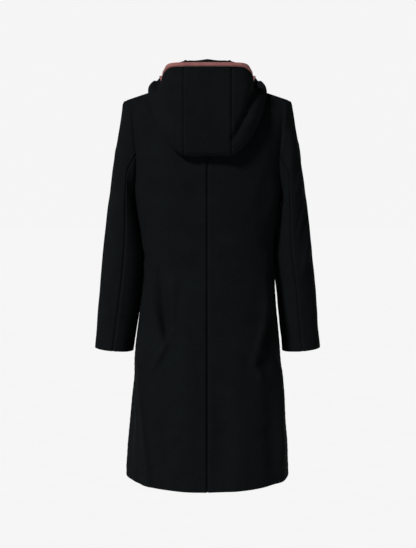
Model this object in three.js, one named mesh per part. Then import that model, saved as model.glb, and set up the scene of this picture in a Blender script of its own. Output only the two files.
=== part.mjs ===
// A knee-length hooded duffle coat in black wool, filled out as if it were worn, with nobody in it.
// Millimetres. +Z is up, the front faces -Y and the wearer's left is +X.
// The origin is the middle of the neck opening, at the height where the shoulder seams end.
import * as THREE from 'three';

// Cloth and seams
const CLOTH = 3;
const HOOD_CLOTH = 3.4;
const SEAM = 0.3;
const LAYER_GAP = 0.7;

// Body
const HEM_Z = -963;
const HEM_DIP = { back: 13, front: 0 };
const ARMPIT_Z = -265;
const SHOULDER_X = 200;
const SHOULDER_Z = -31;
const NECK_HALF = 75;
const NECK_Z = 11;
const NAPE = { y: 60, z: -5, bend: 2 };
const THROAT = { y: 80, z: -70, bend: 1.5 };
const SQUARENESS = 0.87;
const ARMHOLE_DEPTH = { back: 60, front: 62 };
const ARM_GAP = 1.6;
const ARM_SOFTNESS = 5;
const RIDGE_POWER = 5;
const OVERLAP = 38;
const OVERLAP_RAMP = 14;
const OVERLAP_EASE = 3;
const UNDERLAP_AT_NECK = 0.5;

// Where the column of cells through the neck point stands, as a share of the way from centre to side
const NECK_SHARE = 0.34;

// Level sections of the body's outside, from the hem up
const BODY_SECTIONS = [
  { z: -963, left: 203, right: 203, back: 137, front: 139 },
  { z: -938, left: 203, right: 202, back: 137, front: 138 },
  { z: -878, left: 199, right: 199, back: 135, front: 135 },
  { z: -818, left: 194, right: 194.5, back: 133, front: 132 },
  { z: -758, left: 190, right: 190, back: 130, front: 129 },
  { z: -698, left: 184.5, right: 184.5, back: 127, front: 126 },
  { z: -638, left: 179, right: 179.5, back: 123, front: 123 },
  { z: -578, left: 171.5, right: 174, back: 119, front: 120 },
  { z: -518, left: 163.5, right: 169, back: 114, front: 118 },
  { z: -468, left: 158.5, right: 165.5, back: 110, front: 117 },
  { z: -413, left: 159.5, right: 164, back: 107, front: 118 },
  { z: -360, left: 165, right: 167, back: 109, front: 122 },
  { z: -318, left: 173, right: 173.5, back: 113, front: 126 },
  { z: -265, left: 182, right: 182, back: 117, front: 128 },
  { z: -215, left: 185.5, right: 185.5, back: 120, front: 125 },
  { z: -171, left: 190, right: 190, back: 120, front: 118 },
  { z: -127, left: 197, right: 197, back: 116, front: 109 },
  { z: -81, left: 204, right: 204, back: 106, front: 100 },
  { z: -31, left: 207, right: 207, back: 92, front: 90 },
  { z: 11, left: 208, right: 208, back: 80, front: 82 },
];

// Soft folds of the body. Turn is the angle round the body in degrees: 0 is the centre back,
// 90 the wearer's left side, -90 the right side and 180 the centre front.
// Push is how far the cloth stands out, and is negative for a trough.
const BODY_FOLDS = [
  { fromTurn: 80, fromZ: -430, toTurn: 52, toZ: -640, width: 26, push: -9 },
  { fromTurn: 60, fromZ: -360, toTurn: 35, toZ: -640, width: 20, push: 4 },
  { fromTurn: 26, fromZ: -510, toTurn: 33, toZ: -650, width: 22, push: -5 },
  { fromTurn: -76, fromZ: -450, toTurn: -48, toZ: -660, width: 26, push: -8 },
  { fromTurn: -60, fromZ: -420, toTurn: -40, toZ: -690, width: 20, push: 4 },
  { fromTurn: 76, fromZ: -700, toTurn: 46, toZ: -960, width: 18, push: 5 },
  { fromTurn: 88, fromZ: -720, toTurn: 66, toZ: -960, width: 24, push: -6 },
  { fromTurn: -70, fromZ: -700, toTurn: -62, toZ: -960, width: 24, push: 4 },
  { fromTurn: 100, fromZ: -440, toTurn: 135, toZ: -680, width: 26, push: -7 },
  { fromTurn: -102, fromZ: -430, toTurn: -132, toZ: -700, width: 26, push: -7 },
  { fromTurn: 118, fromZ: -700, toTurn: 126, toZ: -960, width: 24, push: 5 },
  { fromTurn: -116, fromZ: -690, toTurn: -128, toZ: -960, width: 24, push: 5 },
];
const FOLD_TURN_MM = 2.9;

// Sleeve rings from the armhole to the cuff: the outer and inner ends of each ring,
// and how far it reaches to the back and to the front
const SLEEVE_SECTIONS = [
  { s: 0, outX: 200, outZ: -31, inLeft: 182, inRight: 182, inZ: -265, back: 60, front: -62 },
  { s: 0.03, outX: 207.5, outZ: -38, inLeft: 182, inRight: 182, inZ: -269, back: 61, front: -64 },
  { s: 0.09, outX: 214, outZ: -74, inLeft: 181, inRight: 181, inZ: -275, back: 62, front: -68 },
  { s: 0.17, outX: 221.5, outZ: -121, inLeft: 179, inRight: 179, inZ: -286, back: 62, front: -72 },
  { s: 0.26, outX: 231, outZ: -178, inLeft: 175, inRight: 175, inZ: -303, back: 60, front: -75 },
  { s: 0.37, outX: 241.5, outZ: -248, inLeft: 168, inRight: 170, inZ: -334, back: 55, front: -78 },
  { s: 0.51, outX: 253.5, outZ: -339, inLeft: 158, inRight: 163, inZ: -390, back: 47, front: -80 },
  { s: 0.62, outX: 262, outZ: -412, inLeft: 156, inRight: 164, inZ: -442, back: 41, front: -80 },
  { s: 0.74, outX: 270, outZ: -490, inLeft: 161, inRight: 173, inZ: -506, back: 34, front: -78 },
  { s: 0.88, outX: 277.5, outZ: -584, inLeft: 176.5, inRight: 181, inZ: -594, back: 27, front: -73 },
  { s: 1, outX: 283, outZ: -647.5, inLeft: 187, inRight: 188, inZ: -655.5, back: 23, front: -70 },
];
const SLEEVE_TWIST = 10;
const CAP_BLEND = 0.16;

// Soft folds of the sleeves. Psi is the angle round a ring: 0 is the outside, 90 the back and -90 the front.
const SLEEVE_FOLDS = [
  { side: -1, fromPsi: 30, fromS: 0.3, toPsi: 62, toS: 0.47, width: 13, push: 3.5 },
  { side: -1, fromPsi: 22, fromS: 0.42, toPsi: 58, toS: 0.62, width: 13, push: 3.5 },
  { side: -1, fromPsi: 26, fromS: 0.36, toPsi: 60, toS: 0.54, width: 13, push: -3 },
  { side: 1, fromPsi: 24, fromS: 0.4, toPsi: 60, toS: 0.58, width: 15, push: -2.5 },
  { side: 1, fromPsi: -60, fromS: 0.45, toPsi: -100, toS: 0.62, width: 14, push: -3 },
  { side: -1, fromPsi: -60, fromS: 0.46, toPsi: -100, toS: 0.6, width: 14, push: -3 },
];
const SLEEVE_TURN_MM = 0.95;
const SLEEVE_LENGTH = 640;

// The hood lies open on the back. Each row is a rib of cloth that starts on the neckline, rolls over,
// falls to a fold and rises again to the hood's edge, each given as x, y and z. Station v is 0 at the
// centre back, 1 at the shoulder seam and 2 at the centre front.
const HOOD_RIBS = [
  { v: 0, roll: [0, 76, 60], fold: [0, 136, -169], edge: [0, 143, 50] },
  { v: 0.3, roll: [27, 73, 57], fold: [29, 135, -169], edge: [29, 143, 50] },
  { v: 0.5628, roll: [53, 63, 57], fold: [57, 133, -168], edge: [57, 140, 50] },
  { v: 0.7, roll: [68, 50, 54], fold: [82, 126, -150], edge: [89, 129, 48] },
  { v: 0.85, roll: [81, 32, 48], fold: [107, 110, -118], edge: [105, 108, 32] },
  { v: 1, roll: [88, 12, 40], fold: [126, 82, -74], edge: [113, 78, 15] },
  { v: 1.15, roll: [91, -8, 27], fold: [137, 38, -24], edge: [116, 39, 10] },
  { v: 1.3, roll: [88, -28, 14.5], fold: [130, -13, -6], edge: [114, -12, 24] },
  { v: 1.45, roll: [79, -48, 0], fold: [118, -52, -38], edge: [110, -53, -3] },
  { v: 1.63, roll: [62, -68, -20], fold: [88, -82, -66], edge: [85, -90, -42] },
];
const ROLL_RADIUS = 9;
const FOLD_RADIUS = 13;
const HOOD_BULGE = 11;
const HOOD_FRONT_SCALE = 0.5;
const HOOD_GAP = 2.4;
const SHOULDER_ROOM = { height: 5, width: 42 };
const STRIP_ANGLE = 50.65;
const BINDING_WIDTH = 9;

// The edge curls in at the hood's sides, between these stations
const CURL = { from: 0.62, full: 0.95, less: 1.1, to: 1.4 };
const CURL_LENGTH = 22;
const CURL_BEFORE = { out: 0, up: -9 };
const CURL_TOP = { out: -6, up: 0 };
const CURL_END = { out: -17, up: -1 };

// Toggle fastenings, from the top one down. Each has a toggle with its own cord from a patch on the
// wearer's left front, and a loop from a patch on the right front. x is measured from the centre front.
const FASTENINGS = 3;
const FIRST_FASTENING_Z = -160;
const FASTENING_STEP = 150;
const TOGGLE = { x: 10, height: 14, length: 54 };
const TOGGLE_PROFILE = [
  { at: -1, radius: 4 },
  { at: -0.9, radius: 6.2 },
  { at: -0.6, radius: 7.5 },
  { at: -0.22, radius: 7 },
  { at: -0.14, radius: 4.4 },
  { at: 0.14, radius: 4.4 },
  { at: 0.22, radius: 7 },
  { at: 0.6, radius: 7.5 },
  { at: 0.9, radius: 6.2 },
  { at: 1, radius: 4 },
];
const CORD_RADIUS = 2;
const PATCH = { half: 19, halfHeight: 15, thickness: 2, corner: 0.2, rise: 0.7 };
const PATCH_X = { toggle: 84, loop: -77 };
// Height is measured out from the front. Up is along it.
const TOGGLE_CORD = [
  { x: 64, up: 2.5, height: 2.6 },
  { x: 52, up: 2.5, height: 5 },
  { x: 42, up: 2.5, height: 10.5 },
  { x: 30, up: 1.8, height: 14.5 },
  { x: 18, up: 0.8, height: 19.6 },
  { x: 10, up: 0.3, height: 21 },
  { x: 4.4, up: 0, height: 18.6 },
  { x: 3, up: 0, height: 14 },
  { x: 4.4, up: 0, height: 9.2 },
  { x: 10, up: -0.3, height: 7 },
  { x: 20, up: -0.8, height: 7.4 },
  { x: 32, up: -2.5, height: 7.6 },
  { x: 44, up: -2.5, height: 7.6 },
  { x: 54, up: -2.5, height: 3.6 },
  { x: 64, up: -2.5, height: 2.6 },
];
const LOOP = [
  { x: -57, up: 2.6, height: 3.1 },
  { x: -38, up: 3.4, height: 3.6 },
  { x: -14, up: 5.4, height: 2.5 },
  { x: 2, up: 7.2, height: 2.5 },
  { x: 16, up: 8, height: 2.5 },
  { x: 26, up: 5.5, height: 2.5 },
  { x: 29.5, up: 0, height: 2.5 },
  { x: 26, up: -5.5, height: 2.5 },
  { x: 16, up: -8, height: 2.5 },
  { x: 2, up: -7.2, height: 2.5 },
  { x: -14, up: -5.4, height: 2.5 },
  { x: -38, up: -3.4, height: 3.6 },
  { x: -57, up: -2.6, height: 3.1 },
];

// Cells of the panels
const NECK_CELLS = 6;
const FRONT_NECK_CELLS = 8;
const HOOD_FRONT_CELLS = 5;
const SIDE_CELLS = 8;
const LOWER_CELLS = 15;
const ARM_CELLS = 9;
const SLEEVE_CELLS = 15;
const FALL_CELLS = 7;
const FOLD_CELLS = 4;
const RISE_CELLS = 6;
const CURL_CELLS = 2;
const OVERLAP_CELLS = 2;
const LIE_SPAN = 18;
const CORD_CELLS = 18;
const CORD_SIDES = 5;
const TOGGLE_SIDES = 10;
const PATCH_CELLS = 3;
const BACK_SEAM_CELL = 5;
const FRONT_SEAM_CELL = -6;

const WOOL = { color: 0x101415, roughness: 0.92, metalness: 0 };
const TRIM = { color: 0x6e4242, roughness: 0.75, metalness: 0 };
const LEATHER = { color: 0x0c0c0d, roughness: 0.55, metalness: 0 };
const HORN = { color: 0x2b1c12, roughness: 0.35, metalness: 0 };

const RIGHT_ANGLE = Math.PI / 2;
const STEP = 1e-3;
const EDGE_STEP = 4e-3;
const vec = (x, y, z) => new THREE.Vector3(x, y, z);
const mix = (a, b, t) => a + (b - a) * t;
const blend = (p, q, t) => p.clone().lerp(q, t);
const clamp = (t) => Math.min(Math.max(t, 0), 1);
const ease = (t) => clamp(t) ** 2 * (3 - 2 * clamp(t));
const bump = (d) => Math.exp(-d * d);
const range = (from, to, cells) => Array.from({ length: cells + 1 }, (_, k) => mix(from, to, k / cells));

// A smooth curve through one column of a table, by the values of another
function follow(rows, key, column) {
  const slope = rows.map((row, k) => {
    const before = rows[Math.max(k - 1, 0)];
    const after = rows[Math.min(k + 1, rows.length - 1)];
    return (after[column] - before[column]) / (after[key] - before[key]);
  });
  return (value) => {
    let k = rows.findIndex((row) => row[key] > value) - 1;
    if (k === -2) k = rows.length - 2;
    k = Math.max(k, 0);
    const a = rows[k];
    const b = rows[k + 1];
    const gap = b[key] - a[key];
    const t = (value - a[key]) / gap;
    if (t < 0) return a[column] + slope[k] * t * gap;
    if (t > 1) return b[column] + slope[k + 1] * (t - 1) * gap;
    const rise = b[column] - a[column];
    return a[column] + t * (slope[k] * gap + t * (3 * rise - (2 * slope[k] + slope[k + 1]) * gap
      + t * ((slope[k] + slope[k + 1]) * gap - 2 * rise)));
  };
}

const columnsOf = (rows, key) => Object.fromEntries(
  Object.keys(rows[0]).map((column) => [column, follow(rows, key, column)]),
);
const body = columnsOf(BODY_SECTIONS, 'z');
const sleeve = columnsOf(SLEEVE_SECTIONS, 's');
const hood = columnsOf(HOOD_RIBS.map((row) => ({
  v: row.v,
  ...Object.fromEntries(['roll', 'fold', 'edge'].flatMap((name) => ['X', 'Y', 'Z'].map(
    (axis, k) => [name + axis, row[name][k]],
  ))),
})), 'v');

// The outward normal of a surface given as a function of two numbers
function normalOf(surface, a, b) {
  const across = surface(a + STEP, b).sub(surface(a - STEP, b));
  const along = surface(a, b + STEP).sub(surface(a, b - STEP));
  return across.cross(along).normalize();
}

// How far a point is from a fold's line, and how strong the fold is there
function foldPush(folds, across, along) {
  let push = 0;
  for (const fold of folds) {
    const line = [fold.to[0] - fold.from[0], fold.to[1] - fold.from[1]];
    const away = [across - fold.from[0], along - fold.from[1]];
    const length = line[0] ** 2 + line[1] ** 2;
    const t = (away[0] * line[0] + away[1] * line[1]) / length;
    const near = clamp(t);
    const d = Math.hypot(away[0] - near * line[0], away[1] - near * line[1]);
    push += fold.push * bump(d / fold.width) * (0.35 + 0.65 * Math.sin(Math.PI * clamp(0.12 + 0.76 * near)));
  }
  return push;
}

const bodyFolds = BODY_FOLDS.map((f) => ({
  from: [f.fromTurn * FOLD_TURN_MM, f.fromZ],
  to: [f.toTurn * FOLD_TURN_MM, f.toZ],
  width: f.width,
  push: f.push,
}));
const sleeveFolds = (side) => SLEEVE_FOLDS.filter((f) => f.side === side).map((f) => ({
  from: [f.fromPsi * SLEEVE_TURN_MM, f.fromS * SLEEVE_LENGTH],
  to: [f.toPsi * SLEEVE_TURN_MM, f.toS * SLEEVE_LENGTH],
  width: f.width,
  push: f.push,
}));

// The neckline. Station 0 is the nape, 1 the neck point and 2 the throat.
function neckPoint(v) {
  const end = v <= 1 ? NAPE : THROAT;
  const angle = (v <= 1 ? v : 2 - v) * RIGHT_ANGLE;
  const down = Math.max(Math.cos(angle), 0);
  const z = mix(NECK_Z, end.z, down ** end.bend);
  return vec(NECK_HALF * Math.sin(angle), (v <= 1 ? 1 : -1) * end.y * Math.cos(angle), z);
}

// The top edge of a panel: half the neckline and then the shoulder seam
function topPoint(face, share) {
  if (share <= NECK_SHARE) {
    const station = share / NECK_SHARE;
    return neckPoint(face > 0 ? station : 2 - station);
  }
  const x = mix(NECK_HALF, SHOULDER_X, (share - NECK_SHARE) / (1 - NECK_SHARE));
  return vec(x, face * SEAM / 2, mix(NECK_Z, SHOULDER_Z, (x - NECK_HALF) / (SHOULDER_X - NECK_HALF)));
}

// A point on the outside of the body. Face is 1 for the back and -1 for the front. Share runs from the
// centre (0) to the side or armhole (1). Level runs from the hem (0) past the armpit (1) to the top (2).
function plainBodyPoint(face, side, share, level) {
  const up = clamp(level - 1);
  const end = face > 0 ? NAPE : THROAT;
  const depthColumn = face > 0 ? 'back' : 'front';
  const armZ = (ARMPIT_Z + SHOULDER_Z) / 2 - (SHOULDER_Z - ARMPIT_Z) / 2 * Math.cos(Math.PI * up);
  const hemZ = HEM_Z - HEM_DIP[depthColumn] * (1 - ease(share));
  const z = level <= 1 ? mix(hemZ, ARMPIT_Z, level) : mix(mix(ARMPIT_Z, end.z, up), armZ, share ** 2);
  const depth = body[depthColumn](z);
  const armDepth = ARMHOLE_DEPTH[depthColumn] * Math.sin(Math.PI * Math.min(up, 0.5));
  const limit = Math.acos(Math.min(armDepth / depth, 1) ** (1 / SQUARENESS));
  const angle = Math.abs(share) * limit;
  const ring = vec(
    halfWidth(side, z) * Math.max(Math.sin(angle), 0) ** SQUARENESS,
    face * depth * Math.max(Math.cos(angle), 0) ** SQUARENESS,
    z,
  );
  const ridge = up ** RIDGE_POWER;
  return ridge > 0 ? blend(ring, topPoint(face, share), ridge) : ring;
}

const halfWidth = (side, z) => (side > 0 ? body.left : body.right)(z);

// How far the folds move the body's cloth out at a share of the way round to the side
function bodyPush(face, side, share, z) {
  const turn = side * (face > 0 ? 90 * share : 180 - 90 * share);
  return foldPush(bodyFolds, turn * FOLD_TURN_MM, z) * (1 - ease((z - ARMPIT_Z + 90) / 80));
}

function bodyPoint(face, side, share, level) {
  const p = plainBodyPoint(face, side, share, level);
  const depth = (face > 0 ? body.back : body.front)(p.z);
  const out = vec(p.x / halfWidth(side, p.z) ** 2, p.y / depth ** 2, 0).normalize();
  return p.addScaledVector(out, bodyPush(face, side, share, p.z));
}

// The share of the way to the side at which the front reaches a given distance from the centre
function shareAt(side, x, level) {
  let low = 0;
  let high = 1;
  for (let k = 0; k < 30; k += 1) {
    const middle = (low + high) / 2;
    if (bodyPoint(-1, side, middle, level).x < x) low = middle;
    else high = middle;
  }
  return (low + high) / 2;
}

// The left front's edge lies this far past the centre, under the right front, and less near the neck
const underlap = (level) => mix(OVERLAP, UNDERLAP_AT_NECK, ease((level - 1.5) / 0.4));

// How far the wearer's right front stands out where it laps over the left one
const lapLift = (x, level) => (CLOTH + LAYER_GAP) * ease(
  (x + underlap(level) + OVERLAP_EASE + OVERLAP_RAMP) / OVERLAP_RAMP,
);

// A point on a front, on the wearer's own side as +X. A negative share lies past the centre line,
// and -1 is the free edge. Both fronts follow the left one there.
function flatFrontPoint(side, share, level) {
  if (share >= 0) return bodyPoint(-1, side, share, level);
  const past = -share * (side > 0 ? underlap(level) : OVERLAP);
  const p = bodyPoint(-1, 1, shareAt(1, past, level), level);
  p.x = -past;
  return p;
}

function frontPoint(side, share, level) {
  const p = flatFrontPoint(side, share, level);
  if (side > 0) return p;
  const lift = lapLift(-p.x, level);
  if (lift === 0) return p;
  const out = normalOf((a, b) => flatFrontPoint(side, a, b), share, Math.min(level, 2 - 2 * STEP));
  return p.addScaledVector(out, out.y < 0 ? lift : -lift);
}

// The armhole, on the wearer's left. Psi is 0 at the shoulder, 90 at the back and -90 at the front.
function armholePoint(side, psi) {
  const turned = ((psi + 540) % 360) - 180;
  const p = plainBodyPoint(turned >= 0 ? 1 : -1, side, 1, 2 - Math.abs(turned) / 180);
  if (Math.abs(turned) < 1e-9) p.y = 0;
  return p;
}

// The direction of the cut edge round the armhole, midway between the body's inside and the sleeve's
function armholeInward(psi) {
  const p = armholePoint(1, psi);
  const centreZ = (SHOULDER_Z + ARMPIT_Z) / 2;
  const radial = vec(0.15, p.y / 60, (p.z - centreZ) / 113).normalize();
  const level = 2 - Math.abs(((psi + 540) % 360) - 180) / 180;
  const outward = vec(
    0.75,
    0.65 * Math.sin(psi * Math.PI / 180),
    0.75 * ease((level - 1.45) / 0.55),
  ).normalize();
  return radial.add(outward).normalize().negate();
}

function sleevePoint(side, psi, s) {
  const ringAt = (at) => {
    const turn = (psi - SLEEVE_TWIST * ease(at)) * Math.PI / 180;
    const row = Object.fromEntries(Object.entries(sleeve).map(([name, value]) => [name, value(at)]));
    const inX = side > 0 ? row.inLeft : row.inRight;
    const middle = vec((row.outX + inX) / 2, (row.back + row.front) / 2, (row.outZ + row.inZ) / 2);
    const half = vec((row.outX - inX) / 2, 0, (row.outZ - row.inZ) / 2);
    const out = half.clone().multiplyScalar(Math.cos(turn));
    out.y = (row.back - row.front) / 2 * Math.sin(turn);
    return { middle, out };
  };
  const ring = ringAt(s);
  const start = ringAt(0);
  const p = ring.middle.clone().add(ring.out);
  const error = armholePoint(side, psi).sub(start.middle).sub(start.out);
  p.addScaledVector(error, 1 - ease(s / CAP_BLEND));
  const turned = ((psi + 540) % 360) - 180;
  const push = foldPush(sleeveFolds(side), turned * SLEEVE_TURN_MM, s * SLEEVE_LENGTH);
  p.addScaledVector(ring.out.normalize(), push * ease(s / CAP_BLEND));
  return clearOfBody(side, p);
}

// A sleeve point moved out until it lies just clear of the side of the body
function clearOfBody(side, p) {
  const face = p.y >= 0 ? 1 : -1;
  const depth = (face > 0 ? body.back : body.front)(p.z);
  const angle = Math.acos(clamp(Math.abs(p.y) / depth) ** (1 / SQUARENESS));
  const push = bodyPush(face, side, angle / RIGHT_ANGLE, p.z);
  const wall = halfWidth(side, p.z) * Math.sin(angle) ** SQUARENESS + push + ARM_GAP;
  const over = clamp(0.5 + 0.5 * (p.x - wall) / ARM_SOFTNESS);
  const x = mix(wall, p.x, over) + ARM_SOFTNESS * over * (1 - over);
  p.x = mix(p.x, x, ease((ARMPIT_Z - p.z) / 30));
  return p;
}

// Points of the coat under the hood, with the direction that faces out there
const CLOSE_CELLS = 36;
const underHood = [];
for (const face of [1, -1]) {
  for (const share of range(0, 1, CLOSE_CELLS)) {
    for (const level of range(1.2, 2 - 2 * STEP, CLOSE_CELLS)) {
      const inside = Math.min(Math.max(share, 2 * STEP), 1 - 2 * STEP);
      const out = normalOf((a, b) => plainBodyPoint(face, 1, a, b), inside, level);
      const point = plainBodyPoint(face, 1, share, level);
      if (out.dot(vec(point.x, point.y, 90)) < 0) out.negate();
      underHood.push({ point, out });
    }
  }
}

// Moves a point out until it lies a gap away from the coat under it
function clearOfCoat(p, gap) {
  if (gap <= 0) return;
  let nearest = null;
  let least = Infinity;
  for (const close of underHood) {
    const away = close.point.distanceToSquared(p);
    if (away < least) {
      least = away;
      nearest = close;
    }
  }
  const height = p.clone().sub(nearest.point).dot(nearest.out);
  const lift = nearest.point.y < 0 && nearest.point.x < OVERLAP * 2 ? gap + CLOTH + LAYER_GAP : gap;
  if (height < lift) p.addScaledVector(nearest.out, lift - height);
}

// The hood: one rib of cloth from the neckline to the edge, with the same shares at its bends on every rib
const ribs = new Map();
let ribKnots = null;
function hoodRib(v) {
  const key = v.toFixed(6);
  if (ribs.has(key)) return ribs.get(key);
  const at = (name) => vec(hood[`${name}X`](v), hood[`${name}Y`](v), hood[`${name}Z`](v));
  const start = neckPoint(v);
  const roll = at('roll');
  const fold = at('fold');
  const edge = at('edge');
  const low = fold.clone();
  clearOfCoat(fold, HOOD_GAP + SHOULDER_ROOM.height * bump(fold.y / SHOULDER_ROOM.width));
  edge.add(fold.clone().sub(low));
  const away = vec(fold.x - start.x, fold.y - start.y, 0).normalize();
  const shifted = (p, outward, up) => p.clone().addScaledVector(away, outward).add(vec(0, 0, up));
  const small = mix(1, HOOD_FRONT_SCALE, ease((v - 0.5) / 0.9));
  const foldRadius = FOLD_RADIUS * small;
  const rollRadius = ROLL_RADIUS * small;
  const foldOut = shifted(fold, foldRadius, foldRadius);
  const bulge = HOOD_BULGE * (1 - 0.7 * ease((v - 0.5) / 0.7));
  const curlEnds = ease((v - CURL.less) / (CURL.to - CURL.less));
  const curl = ease((v - CURL.from) / (CURL.full - CURL.from)) * (1 - curlEnds);
  const rise = edge.clone().sub(foldOut).normalize();
  const curled = (before, place) => blend(
    edge.clone().addScaledVector(rise, -before * mix(1, HOOD_FRONT_SCALE, curlEnds)),
    shifted(edge, place.out, place.up),
    curl,
  );
  const points = [
    start,
    shifted(roll, -rollRadius, -rollRadius * 1.4),
    roll,
    shifted(roll, rollRadius, -rollRadius),
    shifted(fold, -foldRadius, foldRadius),
    fold,
    foldOut,
    shifted(blend(foldOut, edge, 0.5), bulge, 0),
    curled(CURL_LENGTH, CURL_BEFORE),
    curled(CURL_LENGTH / 2, CURL_TOP),
    curled(0, CURL_END),
  ];
  if (!ribKnots) {
    const length = [0];
    points.forEach((p, k) => k && length.push(length[k - 1] + p.distanceTo(points[k - 1])));
    ribKnots = length.map((d) => d / length[points.length - 1]);
  }
  const rib = columnsOf(points.map((p, k) => ({ share: ribKnots[k], x: p.x, y: p.y, z: p.z })), 'share');
  ribs.set(key, rib);
  return rib;
}
hoodRib(0);

// A point of the hood's outside. Station v is negative on the wearer's right, and share runs along the rib.
function hoodPoint(v, share) {
  const rib = hoodRib(Math.abs(v));
  const p = vec(rib.x(share), rib.y(share), rib.z(share));
  clearOfCoat(p, HOOD_GAP * ease((share - ribKnots[2]) / (ribKnots[4] - ribKnots[2])));
  if (v < 0) p.x = -p.x;
  return p;
}

// The share of a rib that lies a distance short of its edge
function shareBeforeEdge(v, distance) {
  let share = 1;
  let left = distance;
  let p = hoodPoint(v, 1);
  while (left > 0) {
    const next = hoodPoint(v, share - EDGE_STEP);
    left -= p.distanceTo(next);
    share -= EDGE_STEP;
    p = next;
  }
  return share;
}

// A closed wall from a grid of outer points and the grid of inner points behind them. The end faces of
// the columns for which turned is true are split along their other diagonal, as on the piece they meet.
function closedWall(outer, inner, turned = () => false) {
  const columns = outer.length;
  const rows = outer[0].length;
  const position = [];
  for (const p of [...outer, ...inner].flat()) position.push(p.x, p.y, p.z);
  const index = [];
  const at = (layer, i, j) => (layer * columns + i) * rows + j;
  const quad = (a, b, c, d) => index.push(b, c, a, c, d, a);
  for (let i = 0; i + 1 < columns; i += 1) {
    for (let j = 0; j + 1 < rows; j += 1) {
      quad(at(0, i, j), at(0, i + 1, j), at(0, i + 1, j + 1), at(0, i, j + 1));
      quad(at(1, i, j), at(1, i, j + 1), at(1, i + 1, j + 1), at(1, i + 1, j));
    }
    for (const [j, order] of [[0, 1], [rows - 1, -1]]) {
      const ends = [at(0, i, j), at(1, i, j), at(1, i + 1, j), at(0, i + 1, j)];
      if (order < 0) ends.reverse();
      const first = turned(i) === (order > 0) ? 1 : 0;
      quad(...[0, 1, 2, 3].map((k) => ends[(k + first) % 4]));
    }
  }
  for (let j = 0; j + 1 < rows; j += 1) {
    quad(at(0, 0, j), at(0, 0, j + 1), at(1, 0, j + 1), at(1, 0, j));
    quad(at(0, columns - 1, j), at(1, columns - 1, j), at(1, columns - 1, j + 1), at(0, columns - 1, j + 1));
  }
  return closedMesh(position, index);
}

// A geometry from points and triangles, turned so that its faces point out
function closedMesh(position, index) {
  const geometry = new THREE.BufferGeometry();
  geometry.setAttribute('position', new THREE.Float32BufferAttribute(position, 3));
  geometry.setIndex(index);
  if (volumeOf(geometry) < 0) {
    for (let k = 0; k < index.length; k += 3) [index[k], index[k + 1]] = [index[k + 1], index[k]];
    geometry.setIndex(index);
  }
  geometry.computeVertexNormals();
  return geometry;
}

function volumeOf(geometry) {
  const p = geometry.getAttribute('position');
  const index = geometry.getIndex();
  const corner = (k) => new THREE.Vector3().fromBufferAttribute(p, index.getX(k));
  let volume = 0;
  for (let k = 0; k < index.count; k += 3) volume += corner(k).dot(corner(k + 1).cross(corner(k + 2)));
  return volume;
}

const mirrored = (grid) => grid.map((line) => line.map((p) => vec(-p.x, p.y, p.z)));

const group = new THREE.Group();
function addMesh(name, geometry, finish) {
  const mesh = new THREE.Mesh(geometry, new THREE.MeshStandardMaterial(finish));
  mesh.name = name;
  group.add(mesh);
  return mesh;
}

// Stations along half of the neckline, shared by the panels and the hood
const backStations = [
  ...range(0, STRIP_ANGLE / 90, NECK_CELLS / 2),
  ...range(STRIP_ANGLE / 90, 1, NECK_CELLS / 2).slice(1),
];
const frontStations = range(0, 1, FRONT_NECK_CELLS);
const levels = [...range(0, 1, LOWER_CELLS), ...range(1, 2, ARM_CELLS).slice(1)];
const shoulderInward = vec(SHOULDER_Z - NECK_Z, 0, -(SHOULDER_X - NECK_HALF)).normalize();

// The direction of the cut edge round the neckline
function neckInward(v) {
  const p = neckPoint(v);
  return vec(-p.x / NECK_HALF, -p.y / (v <= 1 ? NAPE.y : THROAT.y), 0).normalize().multiplyScalar(0.9)
    .add(vec(0, 0, -0.42)).normalize();
}

// A front or back panel of one side, as outer and inner points on the +X side
function panelGrids(face, side) {
  const stations = face > 0 ? backStations : frontStations;
  const shares = [
    ...(face < 0 ? range(-1, 0, OVERLAP_CELLS).slice(0, -1) : []),
    ...stations.map((v) => v * NECK_SHARE),
    ...range(NECK_SHARE, 1, SIDE_CELLS).slice(1),
  ];
  if (face < 0) shares.reverse();
  const surface = face > 0
    ? (share, level) => bodyPoint(1, side, share, level)
    : (share, level) => frontPoint(side, share, level);
  const outer = [];
  const inner = [];
  for (const share of shares) {
    const outerLine = [];
    const innerLine = [];
    for (const level of levels) {
      const p = surface(share, level);
      const safeShare = Math.min(Math.max(share, face > 0 ? 2 * STEP : share), 1 - 2 * STEP);
      const safeLevel = Math.min(level, 2 - 2 * STEP);
      const inward = normalOf(surface, safeShare, safeLevel).multiplyScalar(-face);
      if (inward.dot(vec(p.x, p.y, 0)) > 0) inward.negate();
      let reach = CLOTH;
      const top = level === 2;
      if (share === 1 && level >= 1) {
        inward.copy(armholeInward(face * 180 * (2 - level)));
        reach *= 1.18;
      } else if (share === 1) {
        inward.y = 0;
        inward.normalize();
      } else if (top && share > NECK_SHARE) {
        inward.copy(shoulderInward);
        reach *= 1.25;
      } else if (top && share >= 0) {
        inward.copy(neckInward(face > 0 ? share / NECK_SHARE : 2 - share / NECK_SHARE));
      } else if (share === 0 && face > 0) {
        inward.x = 0;
        inward.normalize();
      }
      if (face > 0 && share === 0) p.x = SEAM / 2;
      if (share === 1 && level <= 1) p.y = face * SEAM / 2;
      if (top && share >= NECK_SHARE) p.y = face * SEAM / 2;
      outerLine.push(p);
      innerLine.push(p.clone().addScaledVector(inward, reach));
    }
    outer.push(outerLine);
    inner.push(innerLine);
  }
  return [outer, inner];
}

const frontOutside = {};
for (const [face, word] of [[1, 'back'], [-1, 'front']]) {
  for (const [side, sideWord] of [[1, 'left'], [-1, 'right']]) {
    const grids = panelGrids(face, side);
    const [outer, inner] = side > 0 ? grids : grids.map(mirrored);
    if (face < 0) frontOutside[side] = outer;
    addMesh(`${word}_${sideWord}`, closedWall(outer, inner), WOOL);
  }
}

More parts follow.
